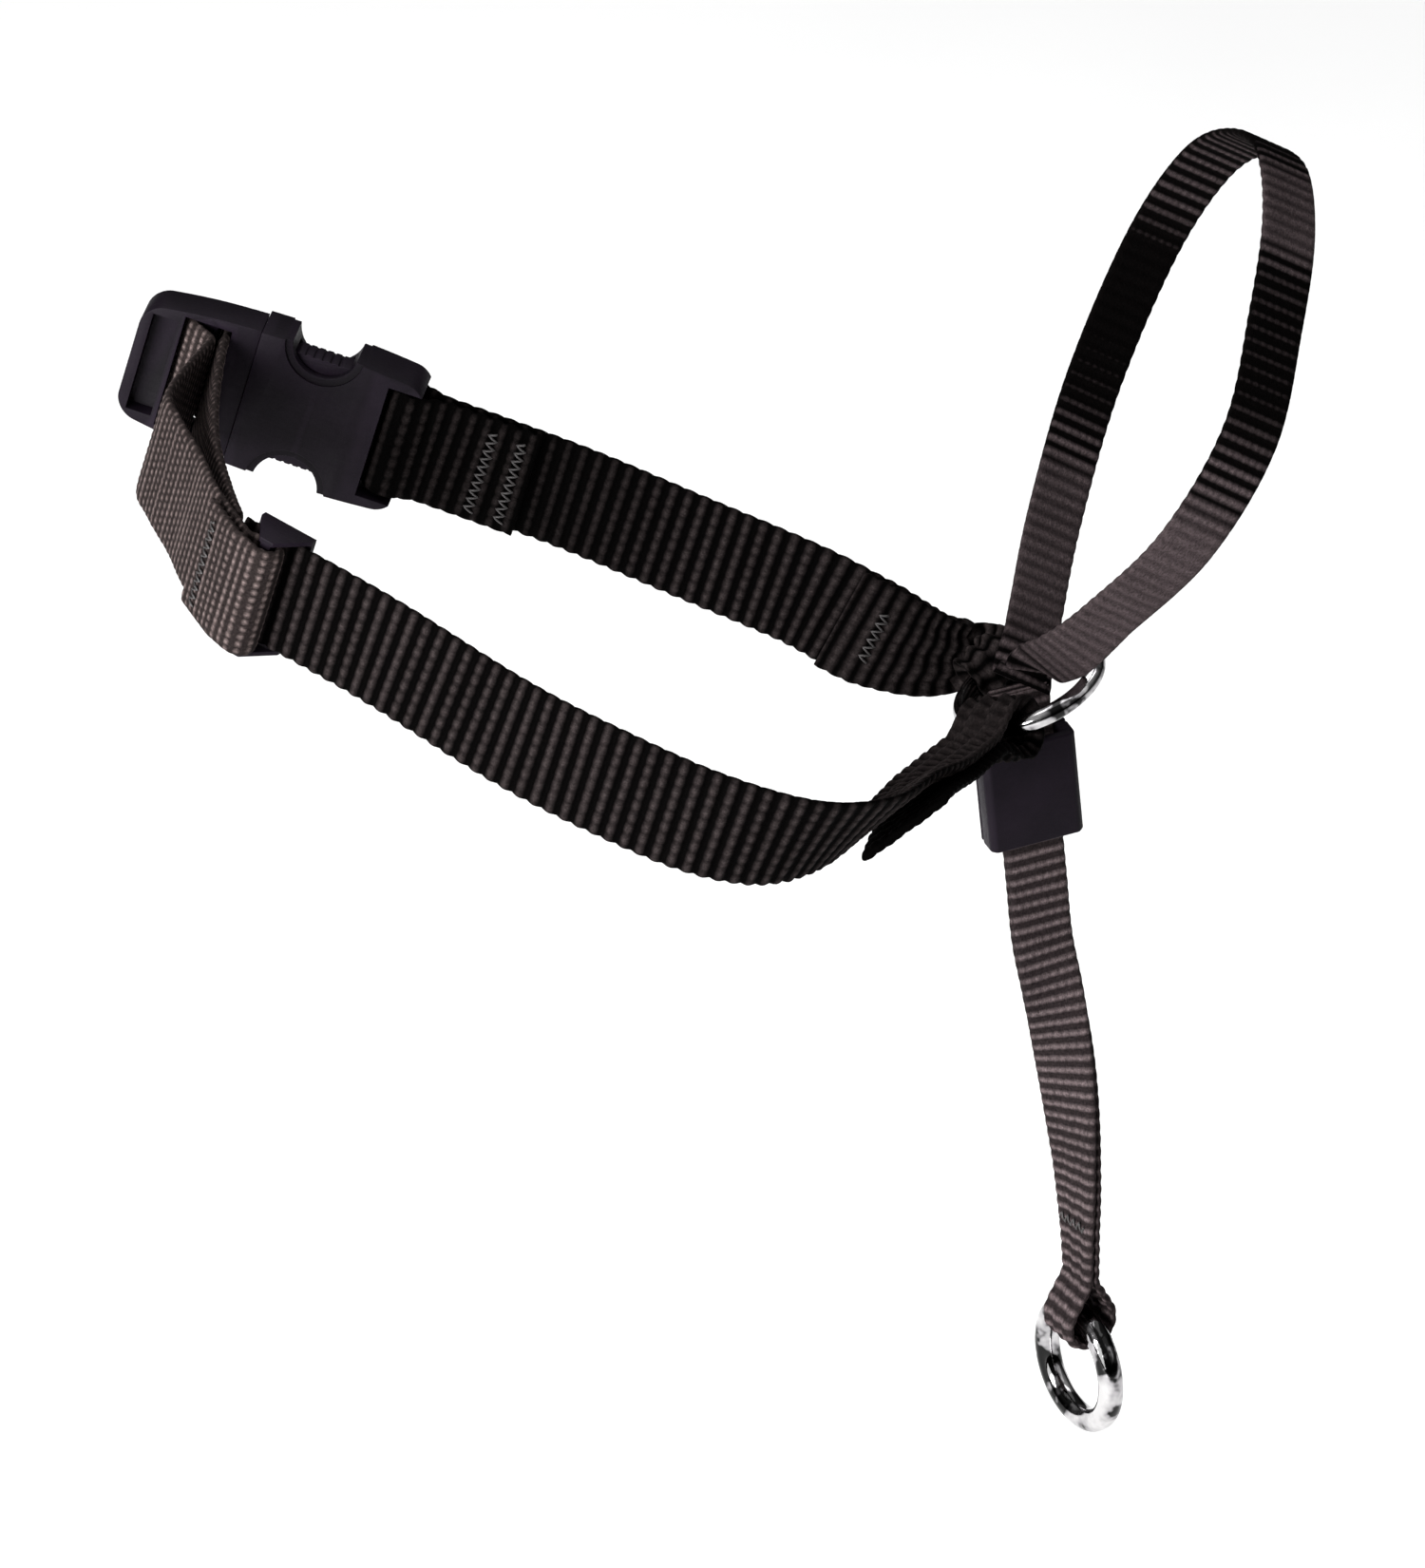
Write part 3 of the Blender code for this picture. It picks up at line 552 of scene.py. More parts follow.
def eased(stations, passes=8):
    """The same path with its corners rounded a little, and its ends where they were."""
    for _ in range(passes):
        inner = [
            mix_stations(b, mix_stations(a, c, 0.5), 0.5)
            for a, b, c in zip(stations, stations[1:], stations[2:])
        ]
        stations = [stations[0], *inner, stations[-1]]
    return stations


def eye_reach(bore, thick):
    """How far before an eye's centre its two plies start to part."""
    return EYE_TAPER * (bore + thick / 2)


def eye_entry(centre, across, towards, bore, thick, side):
    """Where the middle of one ply starts into an eye round a wire or a bar."""
    out = towards.cross(across) * side
    return centre - towards * eye_reach(bore, thick) + out * (thick + GAP) / 2


def eye_turn(centre, across, towards, bore, thick, side, width):
    """Stations round an eye: out along one ply's line, round the wire and back to the other's."""
    radius = bore + thick / 2
    reach = eye_reach(bore, thick)
    half = (thick + GAP) / 2
    out = towards.cross(across) * side
    lean = math.atan2(half, reach) + math.acos(radius / math.hypot(reach, half))
    made = []
    for i in range(EYE_STEPS + 1):
        turn = lean + (2 * math.pi - 2 * lean) * i / EYE_STEPS
        offset = out * math.sin(turn) - towards * math.cos(turn)
        made.append((centre + offset * radius, across, width))
    return made


def doubled_ply(stations, length, thick, side, lift=0.0):
    """The ply sewn back along the last stretch of a strap, its free end standing off by lift."""
    made = []
    run = 0.0
    framed = with_normals(stations)
    for i in range(len(framed) - 1, -1, -1):
        centre, across, width, out = framed[i]
        if i < len(framed) - 1:
            run += (framed[i + 1][0] - centre).length
        if run > length:
            break
        spread = thick + GAP + lift * (run / length) ** 2
        made.append((centre - out * side * spread, across, width))
    return made


# --- woven webbing


def places_across(columns):
    """Places across one face from -1 to 1, closer together at the selvedges."""
    inner = [-INNER_REACH + 2 * INNER_REACH * k / (columns - 1) for k in range(columns)]
    return [*(-place for place in reversed(SELVEDGE_PLACES)), *inner, *SELVEDGE_PLACES]


def rib_height(phase, place, weave, loft, parity):
    """How high the weave stands, 0 in a groove and 1 on a crest; phase counts ribs."""
    rib = round(phase)
    ridge = abs(math.cos(math.pi * phase)) ** RIB_POWER
    shift = (rib + parity) % YARN_SHIFTS / YARN_SHIFTS
    yarn = abs(math.cos(math.pi * (place * weave.yarns / 2 + shift)))
    lump = 1 - weave.lump * loft[rib % len(loft)] * (1 - yarn)
    return ridge * lump


def woven_row(station, phase, weave, places, loft):
    """One row's points round the webbing, with how high each stands in the weave as its painted
    light, darker where the face rounds over at its edge as painted shade.
    """
    centre, across, width, out = station
    edge = 1 - weave.scallop * (1 - abs(math.cos(math.pi * phase)))
    fold = max(0.0, 1 - width / weave.width) * FOLD_RISE
    count = len(places)
    points, rib_painted_light = [], []
    for k in [*range(count), *range(count - 2, 0, -1)]:
        side = 1 if len(points) < count else -1
        place = places[k]
        crest = rib_height(phase + (side < 0) * 0.5, place, weave, loft, side < 0)
        full = weave.thick / 2 + CREST_RISE - weave.depth * (1 - crest)
        level = math.sqrt(1 - abs(place) ** SELVEDGE_POWER)
        rise = side * full * level + fold * math.cos(GATHERS * math.pi * place)
        points.append(centre + across * (place * edge * width / 2) + out * rise)
        # darker where the face rounds over at its edge, as painted shade
        rib_painted_light.append(crest * (SELVEDGE_PAINTED_SHADE + (1 - SELVEDGE_PAINTED_SHADE) * level))
    return points, rib_painted_light


def quads_round(rows, ring):
    """Quads between each row and the next, for rows that go round a strap or a thread."""
    return [
        [a + k, a + (k + 1) % ring, a + ring + (k + 1) % ring, a + ring + k]
        for a in range(0, ring * (rows - 1), ring) for k in range(ring)
    ]


def woven_faces(rows, count):
    """Quads along the webbing and over its two cut ends."""
    ring = 2 * count - 2
    faces = quads_round(rows, ring)
    for a in (0, ring * (rows - 1)):
        below = [a, *range(a + ring - 1, a + count - 1, -1), a + count - 1]
        for k in range(count - 1):
            corners = (a + k, a + k + 1, below[k + 1], below[k])
            faces.append(list(dict.fromkeys(corners)))
    return faces


def painted_light_at(share, painted_light):
    """How much painted light (above 0) and painted shade (below 0) there is a share of the way along,
    from (share, amount) places.
    """
    for (start, low), (end, high) in zip(painted_light, painted_light[1:]):
        if share <= end:
            return low + (high - low) * (share - start) / (end - start)
    return painted_light[-1][1]


def with_painted_light(crest, light_amount):
    """How light the weave is painted: painted light hides its grooves, and painted shade dulls its
    crests.
    """
    if light_amount > 0:
        return crest + (PAINTED_LIGHT_LEVEL - crest) * light_amount
    return crest * (1 + light_amount * PAINTED_SHADE_DULLING)


def woven(name, stations, weave, finish, painted_light=EVEN_PAINTED_LIGHT):
    """Woven webbing along a path, with ribs, lumps where its yarns cross, and scalloped edges."""
    step = weave.pitch / ROWS_PER_RIB
    rows = with_normals(eased(even_stations(stations, step)))
    places = places_across(weave.columns)
    chance = random.Random(weave.seed)
    loft = [chance.uniform(*LOFT_RANGE) for _ in range(LOFT_COUNT)]
    points, rib_painted_light, flat = [], [], []
    ring = 2 * len(places) - 2
    for i, station in enumerate(rows):
        row_points, row_painted_light = woven_row(station, i / ROWS_PER_RIB, weave, places, loft)
        # painted light and painted shade along the strap
        light_amount = painted_light_at(i / (len(rows) - 1), painted_light)
        points += row_points
        rib_painted_light += [with_painted_light(crest, light_amount) for crest in row_painted_light]
        for k in range(ring):
            place = places[k] if k < len(places) else places[ring - k]
            flat.append((place * weave.width / 2, i * step))
    mesh = mesh_from(name, points, woven_faces(len(rows), len(places)))
    # each point's painted light: its height in the weave as painted highlight, with painted shade at
    # the edges and painted light and shade along the strap
    crest = mesh.attributes.new("crest", "FLOAT", "POINT")
    crest.data.foreach_set("value", rib_painted_light)
    layer = mesh.uv_layers.new(name="webbing")
    for loop in mesh.loops:
        layer.uv[loop.index].vector = flat[loop.vertex_index]
    mesh.shade_smooth()
    return add_object(name, mesh, Matrix(), finish)


# --- strap routes

FAR_RING_SIDE = -1  # which side of its face ply each strap's own fold starts from
FAR_BAR_SIDE = 1
NEAR_SIDE = -1
FLAP_LIFT = 0.0022  # how far the end of the near strap's sewn ply stands off the strap
STRAP_PAST_SLIDER = 0.0064
STRAP_JOIN = 0.0013  # clears the end of the near strap's webbing, which runs on into the adjuster


def ring_point(degrees):
    turn = math.radians(degrees)
    reach = RING_X * math.cos(turn) + RING_Y * math.sin(turn)
    wire_line = RING_Y * math.cos(turn) - RING_X * math.sin(turn)
    return RING + reach * CENTRE_RING_RADIUS, wire_line


def facing_up(wire_line):
    """The direction along the ring's wire that lies nearer to the neck webbing's upper edge."""
    return -wire_line if wire_line.dot(NECK_ACROSS) < 0 else wire_line


def far_eye():
    """The far strap's eye on the ring: its centre, the wire's line and the way in."""
    centre, wire_line = ring_point(FAR_EYE_TURN)
    outwards = (centre - RING).normalized() * 0.95 + RING_NORMAL * 0.3
    across = facing_up(wire_line)
    return centre, across, square_to(-outwards, across)


FAR_POINTS = ((-84, 26.4, 24.6), (-71, 23.2, 20.8), (-54, 17.8, 15.6), (-36, 12.2, 10.0))


def far_route():
    """The far strap's face ply, from the buckle's bar to its eye on the ring."""
    width, thick = NECK_WEAVE.width, NECK_WEAVE.thick
    centre, across, towards = far_eye()
    start = eye_entry(centre, across, towards, RING_EYE_BORE, thick, FAR_RING_SIDE)
    anchor = eye_entry(BUCKLE_BAR, NECK_ACROSS, BUCKLE_AXIS, BAR_BORE, thick, FAR_BAR_SIDE)
    stations = [
        (anchor, NECK_ACROSS, width),
        *((at(*point), NECK_ACROSS, width) for point in FAR_POINTS),
        (at(-25, 10, 4.6), between(NECK_ACROSS, across, 0.25), 0.95 * width),
        (at(-16, 12.4, -0.6), between(NECK_ACROSS, across, 0.6), 0.75 * width),
        (start, across, BUNCHED_WIDTH),
    ]
    return curve_through(stations)


def far_strap(finish):
    width, thick = NECK_WEAVE.width, NECK_WEAVE.thick
    route = far_route()
    turn = eye_turn(*far_eye(), RING_EYE_BORE, thick, FAR_RING_SIDE, BUNCHED_WIDTH)
    fold = eye_turn(BUCKLE_BAR, NECK_ACROSS, BUCKLE_AXIS, BAR_BORE, thick, FAR_BAR_SIDE, width)
    ring_ply = doubled_ply(route, FAR_RING_SEWN, thick, FAR_RING_SIDE)
    bar_ply = doubled_ply(route[::-1], FAR_BAR_SEWN, thick, FAR_BAR_SIDE)
    stations = bar_ply[::-1] + fold[::-1] + route + turn + ring_ply
    strap = woven("far_neck_webbing", stations, NECK_WEAVE, finish, FAR_PAINTED_LIGHT)
    stand_for(strap, "neck_band", "webbing", "neck_strap_far")
    return bar_ply, ring_ply


def near_eye():
    """The near strap's eye on the ring: its centre, the wire's line and the way in."""
    centre, wire_line = ring_point(NEAR_EYE_TURN)
    across = facing_up(wire_line)
    return centre, across, square_to(unit(0.42, 0.88, -0.15), across)


def near_route():
    """The near strap's face ply, from just past the slider to its eye on the ring."""
    width = NECK_WEAVE.width
    centre, across, towards = near_eye()
    start = eye_entry(centre, across, towards, RING_EYE_BORE, NECK_WEAVE.thick, NEAR_SIDE)
    stations = [
        (SLIDER_AT - SLIDER_AXIS * STRAP_PAST_SLIDER, NECK_ACROSS, width),
        (SLIDER_AT + SLIDER_AXIS * 0.020, NECK_ACROSS, width),
        (at(-81.5, -55.8, 23.5), NECK_ACROSS, width),
        (at(-65.8, -63.7, 18.8), NECK_ACROSS, width),
        (at(-51, -68.5, 14.4), between(NECK_ACROSS, across, 0.12), width),
        (at(-38, -67, 10.4), between(NECK_ACROSS, across, 0.3), width),
        (at(-27.5, -58, 7.4), between(NECK_ACROSS, across, 0.45), width),
        (at(-21.2, -42.7, 4.6), between(NECK_ACROSS, across, 0.62), 0.93 * width),
        (at(-15.8, -29.6, 1.5), between(NECK_ACROSS, across, 0.85), 0.8 * width),
        (start, across, BUNCHED_WIDTH),
    ]
    return curve_through(stations)


def near_strap(finish):
    thick = NECK_WEAVE.thick
    route = near_route()
    turn = eye_turn(*near_eye(), RING_EYE_BORE, thick, NEAR_SIDE, BUNCHED_WIDTH)
    ring_ply = doubled_ply(route, NEAR_RING_SEWN, thick, NEAR_SIDE, FLAP_LIFT)
    strap = woven("near_neck_webbing", route + turn + ring_ply, NECK_WEAVE, finish, NEAR_PAINTED_LIGHT)
    stand_for(strap, "neck_band", "webbing", "neck_strap_near")
    return ring_ply


def male_bar_eye():
    """The adjuster strap's fold round the male half's bar."""
    bar = BUCKLE_BAR + BUCKLE_AXIS * MALE_BAR
    return bar, NECK_ACROSS, square_to(unit(-0.25, 0.96, 0.07), NECK_ACROSS)


def slider_bar_rise():
    """How far the slider's centre bar lies outside the middle of the strap that passes under it."""
    return NECK_WEAVE.thick / 2 + GAP + NECK_WEAVE.thick + SLIDER_BORE + GAP


def slider_bar_eye():
    """The adjuster strap's sewn fold round the slider's centre bar."""
    return SLIDER_AT + SLIDER_OUT * slider_bar_rise(), NECK_ACROSS, SLIDER_AXIS


def adjuster_strap(finish):
    """The loop from the near strap round the male half's bar, and back outside it to the slider."""
    width, thick = LOOP_WEAVE.width, LOOP_WEAVE.thick
    eye = male_bar_eye()
    inner_entry = eye_entry(*eye, BAR_BORE, thick, 1)
    outer_entry = eye_entry(*eye, BAR_BORE, thick, -1)
    fold_eye = slider_bar_eye()
    fold_entry = eye_entry(*fold_eye, SLIDER_BORE, thick, -1)
    start = SLIDER_AT - SLIDER_AXIS * (STRAP_PAST_SLIDER + STRAP_JOIN)
    inner_points = (start, at(-128, -20, 38), at(-130.6, -6, 38.7), at(-131.4, 9, 38.9), inner_entry)
    outer_points = (
        outer_entry,
        at(-138.4, 7, 41),
        at(-136.7, -2, 40.7),
        at(-132.9, -12.3, 39.7),
        at(-129.9, -22.2, 38.9),
        fold_entry,
    )
    inner = curve_through([(p, NECK_ACROSS, width) for p in inner_points])
    outer = curve_through([(p, NECK_ACROSS, width) for p in outer_points])
    turn = eye_turn(*eye, BAR_BORE, thick, 1, width)
    fold = eye_turn(*fold_eye, SLIDER_BORE, thick, -1, width)
    sewn_ply = doubled_ply(outer, ADJUSTER_SEWN, thick, -1)
    middle = len(outer) // 2
    loop = woven("adjuster_loop_webbing", inner + turn + outer[: middle + 1], LOOP_WEAVE, finish)
    bight = woven("adjuster_sewn_webbing", outer[middle:] + fold + sewn_ply, LOOP_WEAVE, finish)
    for part in (loop, bight):
        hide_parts("adjuster_strap")
    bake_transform(loop)
    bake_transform(bight)
    return sewn_ply


# The nose loop's outline in its own plane: millimetres towards the near leg, and up from the ring
NOSE_OUTLINE = (
    (0.8, 0.6), (0.9, 3.2), (4.2, 4.6), (11, 7.6), (19, 14.6), (33.8, 30.0), (38.6, 49),
    (31.5, 67.4), (23, 82.3), (11, 92.4), (-2.5, 93.5), (-13.5, 88), (-20.5, 73), (-21, 49),
    (-13.4, 27), (-5.4, 12), (-2.6, 7), (-0.9, 3.2), (-0.8, 0.6),
)
NOSE_FOOT_UP = 50
NOSE_FEET = (0, 1, len(NOSE_OUTLINE) - 2, len(NOSE_OUTLINE) - 1)  # points square to the tail
NOSE_TURNED = (2, 3)  # points of the near leg where it passes the ring
NOSE_LEG_TURN = unit(-0.38, 0.46, 0.80)  # the way that the near leg's width turns beside the ring
NOSE_TURN_SHARE = 0.35


def nose_point(near, up):
    """A point of the nose loop's plane, whose foot is drawn aside to where the tail leaves."""
    foot = TAIL_TOP.lerp(RING, min(1, up / NOSE_FOOT_UP))
    return foot + NOSE_NEAR * (near * 0.001) + NOSE_UP * (up * 0.001)


def nose_loop(finish):
    stations = []
    for i, (near, up) in enumerate(NOSE_OUTLINE):
        across = TAIL_ACROSS if i in NOSE_FEET else NOSE_ACROSS
        if i in NOSE_TURNED:
            across = between(NOSE_ACROSS, NOSE_LEG_TURN, NOSE_TURN_SHARE)
        if across.dot(TAIL_ACROSS) < 0:
            across = -across
        stations.append((nose_point(near, up), across, NOSE_WEAVE.width))
    loop = woven("nose_webbing", curve_through(stations), NOSE_WEAVE, finish, NOSE_PAINTED_LIGHT)
    stand_for(loop, "nose_band", "webbing", "nose_loop")
    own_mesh(loop)


def tail_point(drop):
    """A point on the tail's middle line, a distance below the ring."""
    return TAIL_TOP + TAIL_DOWN * drop


# The lower tail turns about itself on its way down: share of the way, and yaw in degrees
TAIL_TURNS = ((0.16, 12), (0.4, -18), (0.66, -42), (0.86, -55), (1.0, -59.24))


def tail_route():
    """The tail's middle line, from the ring to the leash ring's eye."""
    width = NOSE_WEAVE.width
    first = tail_point(TAIL_BEND_DROP)
    end = LEASH_EYE - DOWN * eye_reach(TAIL_EYE_BORE, NOSE_WEAVE.thick)
    stations = [(tail_point(d), TAIL_ACROSS, width) for d in TAIL_DROPS]
    stations.append((first, TAIL_ACROSS, width))
    for share, yaw in TAIL_TURNS:
        turn = math.radians(yaw)
        across = unit(math.cos(turn), math.sin(turn), 0)
        narrowed = width + (TAIL_EYE_WIDTH - width) * share**2
        bow = Vector((TAIL_BOW * math.sin(math.pi * share), 0, 0))
        stations.append((first.lerp(end, share) + bow, across, narrowed))
    return curve_through(stations)


def tail(finish):
    """The two plies from the ring to the leash ring, and the length that a pull draws out."""
    thick = NOSE_WEAVE.thick
    framed = with_normals(tail_route())
    half = (thick + GAP) / 2
    front = [(c + out * half, a, w) for c, a, w, out in framed]
    back = [(c - out * half, a, w) for c, a, w, out in framed]
    turn = eye_turn(LEASH_EYE, LEASH_ACROSS, DOWN, TAIL_EYE_BORE, thick, 1, TAIL_EYE_WIDTH)
    whole = woven("tail_webbing", front + turn + back[::-1], NOSE_WEAVE, finish)
    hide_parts("tail_front_ply", "tail_back_ply", "tail_lower")
    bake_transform(whole)
    for side, word in ((-1, "back"), (1, "front")):
        offset = TAIL_FACE * (side * half)
        stations = [(tail_point(d) + offset, TAIL_ACROSS, FEED_WEAVE.width) for d in FEED_DROPS]
        feed = woven(f"tail_feed_{word}", curve_through(stations), FEED_WEAVE, finish)
        stand_for(feed, "neck_band", "webbing")
    return front


# --- moulded parts


def prism(name, outline, low, high, place, finish=None):
    """An outline in the placement's XY plane, made solid from low to high along its Z."""
    count = len(outline)
    points = [(x, y, low) for x, y in outline] + [(x, y, high) for x, y in outline]
    faces = [[(i + 1) % count, i, i + count, (i + 1) % count + count] for i in range(count)]
    faces += [list(range(count)), list(range(2 * count - 1, count - 1, -1))]
    return add_object(name, mesh_from(name, points, faces), place, finish)


def rectangle(x0, x1, y0, y1):
    return [(x0, y0), (x1, y0), (x1, y1), (x0, y1)]


def circle(x, y, radius, count=48):
    turns = [2 * math.pi * i / count for i in range(count)]
    return [(x + radius * math.cos(a), y + radius * math.sin(a)) for a in turns]


def combine(obj, other, operation):
    """Cuts other out of obj, or joins it on."""
    change = obj.modifiers.new(other.name, "BOOLEAN")
    change.operation = operation
    change.object = other
    change.solver = "EXACT"
    settle(obj)
    bpy.data.objects.remove(other, do_unlink=True)


def settle(obj):
    """Turns an object's modifiers into its own mesh."""
    bpy.context.view_layer.update()
    graph = bpy.context.evaluated_depsgraph_get()
    mesh = bpy.data.meshes.new_from_object(obj.evaluated_get(graph), depsgraph=graph)
    obj.modifiers.clear()
    obj.data = mesh


def rounded(obj, width, segments=3, angle=28):
    """Rounds the edges of a moulded part, and shades it smooth between them."""
    change = obj.modifiers.new("rounded_edges", "BEVEL")
    change.width = width
    change.segments = segments
    change.limit_method = "ANGLE"
    change.angle_limit = math.radians(angle)
    change.harden_normals = False
    settle(obj)
    obj.data.shade_smooth()
    obj.data.set_sharp_from_angle(angle=SHARP_EDGE)
    return obj


def buckle_frame():
    """X along the buckle from its bar, Y across it, Z out from the neck."""
    return placement(BUCKLE_BAR, BUCKLE_AXIS, NECK_ACROSS, BUCKLE_OUT)


def bowed_outline(start, end, half_start, half_end, bow, corner, count=30):
    """A strip along X that runs from start to end, bowed along its sides and rounded at its start."""
    upper = []
    for i in range(count):
        share = (i / (count - 1)) ** 2
        half = half_start + (half_end - half_start) * share + bow * math.sin(math.pi * share)
        x = start + (end - start) * share
        short = max(0.0, corner - abs(x - start))
        upper.append((x, half - corner + math.sqrt(corner**2 - short**2)))
    return upper[::-1] + [(x, -y) for x, y in upper]


def cut_box(body, x0, x1, half_wide, low, high):
    """Cuts a box out of a buckle half: x0 to x1 along it, and low to high through it."""
    outline = rectangle(x0, x1, -half_wide, half_wide)
    combine(body, prism("cutter", outline, low, high, buckle_frame()), "DIFFERENCE")


def free_bar(body, middle, reach):
    """Leaves a bar across a buckle half, with room all round it for the webbing."""
    half = BAR_SIZE / 2
    cut_box(body, middle - reach[0], middle - half, SLOT_HALF, -CUT_THROUGH, CUT_THROUGH)
    cut_box(body, middle + half, middle + reach[1], SLOT_HALF, -CUT_THROUGH, CUT_THROUGH)
    for low, high in ((half, CUT_THROUGH), (-CUT_THROUGH, -half)):
        cut_box(body, middle - BAR_SIZE, middle + BAR_SIZE, SLOT_HALF, low, high)


def female_housing(finish):
    place = buckle_frame()
    half = HOUSING_THICK / 2
    end_half = HOUSING_WIDTH / 2
    outline = bowed_outline(FEMALE_START, FEMALE_END, END_HALF, end_half, HOUSING_BOW, END_CORNER)
    body = prism("buckle_housing", outline, -half, half, place, finish)
    cut_box(body, TUNNEL_BOTTOM, FEMALE_END + CUT_BEYOND, TUNNEL_WIDTH / 2,
            -TUNNEL_HEIGHT / 2, TUNNEL_HEIGHT / 2)
    free_bar(body, 0.0, (CUT_THROUGH, FEMALE_REACH))
    for side in (-1, 1):
        middle = side * (end_half + NOTCH_OUTSET)
        notch = prism("notch", circle(NOTCH_ALONG, middle, NOTCH_RADIUS), -CUT_THROUGH,
                      CUT_THROUGH, place)
        combine(body, notch, "DIFFERENCE")
        for face in (-1, 1):
            low, high = sorted((face * (half - DISH_DEPTH), face * CUT_THROUGH))
            dish = prism("dish", circle(NOTCH_ALONG, middle, DISH_RADIUS), low, high, place)
            combine(body, dish, "DIFFERENCE")
    rounded(body, HOUSING_ROUND)
    stand_for(body, "neck_band", "moulded_plastic", "buckle_female_housing")


def male_frame(finish):
    place = buckle_frame()
    half = MALE_THICK / 2
    wide = HOUSING_WIDTH / 2 - MALE_INSET
    outline = bowed_outline(MALE_END, MALE_START, wide - MALE_TAPER, wide, MALE_BOW, END_CORNER)
    body = prism("buckle_male_half", outline, -half, half, place, finish)
    free_bar(body, MALE_BAR, (MALE_REACH, MALE_REACH))
    cut_box(body, *RECESS, RECESS_HALF, half - RECESS_DEPTH, CUT_THROUGH)
    cut_box(body, *RECESS, RECESS_HALF, -CUT_THROUGH, RECESS_DEPTH - half)
    prongs = [(GUIDE_TIP, -GUIDE_WIDTH / 2, GUIDE_WIDTH / 2)]
    prongs += [(MALE_START - TONGUE, side * low, side * high)
               for side in (-1, 1) for low, high in TONGUE_SPANS]
    for tip, low, high in prongs:
        outline = rectangle(tip, MALE_START + PRONG_OVERLAP, low, high)
        prong = prism("prong", outline, -GUIDE_THICK / 2, GUIDE_THICK / 2, place)
        combine(body, prong, "UNION")
    rounded(body, MALE_ROUND)
    stand_for(body, "buckle_male", "moulded_plastic", "buckle_male_frame")


# A latch arm's outline in the buckle's plane: along the buckle, and out from its middle line
ARM_OUTLINE = (
    (ARM_ROOT, 0.0066), (0.0150, 0.0058), (ARM_TIP, 0.0066), (ARM_TIP, 0.0086),
    (0.0098, 0.0099), (0.0190, 0.0099), (0.0205, 0.0086), (ARM_ROOT, 0.0086),
)
GRIP_RIDGES = 5
GRIP_PITCH = 0.0014
GRIP_OUT = 0.0100
GRIP_RADIUS = 0.0003
GRIP_SIDES = 12


def latch_arm(word, side, finish):
    """A flexing arm with the ridged pad that a finger presses."""
    local = [(x - ARM_ROOT, side * (y - ARM_PIVOT)) for x, y in ARM_OUTLINE]
    place = buckle_frame() @ Matrix.Translation((ARM_ROOT, side * ARM_PIVOT, 0))
    arm = prism(f"latch_{word}", local, -ARM_THICK / 2, ARM_THICK / 2, place, finish)
    for k in range(GRIP_RIDGES):
        along = NOTCH_ALONG - ARM_ROOT + (k - (GRIP_RIDGES - 1) / 2) * GRIP_PITCH
        outline = circle(along, side * (GRIP_OUT - ARM_PIVOT), GRIP_RADIUS, GRIP_SIDES)
        groove = prism("groove", outline, -CUT_THROUGH, CUT_THROUGH, place)
        combine(arm, groove, "DIFFERENCE")
    rounded(arm, ARM_ROUND)
    stand_for(arm, f"{word}_arm", "moulded_plastic", f"latch_arm_{word}")


def strap_slider(finish):
    """A tri-glide: low rails and end bars under the near strap, and a centre bar raised over it."""
    under = NECK_WEAVE.thick / 2 + GAP
    bottom = -under - SLIDER_RAIL
    half_bar = SLIDER_BAR / 2
    bar_top = slider_bar_rise() + SLIDER_BAR_THICK / 2
    half_long = SLIDER_LENGTH / 2
    half_wide = SLIDER_WIDTH / 2
    profile = [
        (-half_long, bottom),
        (-half_long, -under),
        (-half_bar - GAP, bar_top),
        (half_bar + GAP, bar_top),
        (half_long, -under),
        (half_long, bottom),
    ]
    side_on = placement(SLIDER_AT, SLIDER_AXIS, SLIDER_OUT, -NECK_ACROSS)
    body = prism("tri_glide_slider", profile, -half_wide, half_wide, side_on, finish)
    flat = placement(SLIDER_AT, SLIDER_AXIS, NECK_ACROSS, SLIDER_OUT)
    slot = SLIDER_SLOT_HALF
    window = rectangle(-half_long + SLIDER_BAR, half_long - SLIDER_BAR, -slot, slot)
    path = rectangle(-CUT_THROUGH, CUT_THROUGH, -slot, slot)
    bar_reach = half_wide - SLIDER_BAR_INSET
    bar = rectangle(-half_bar, half_bar, -bar_reach, bar_reach)
    steps = (
        (window, -CUT_THROUGH, CUT_THROUGH, "DIFFERENCE"),
        (path, -under, CUT_THROUGH, "DIFFERENCE"),
        (bar, bar_top - SLIDER_BAR_THICK, bar_top, "UNION"),
    )
    for outline, low, high, operation in steps:
        combine(body, prism("tool", outline, low, high, flat), operation)
    rounded(body, SLIDER_ROUND)
    stand_for(body, "slider", "moulded_plastic", "strap_slider")


def clamp_frame():
    """X across the tail, Y away from its face, Z up along it."""
    return placement(tail_point(CLAMP_DROP), TAIL_ACROSS, -TAIL_FACE, -TAIL_DOWN)


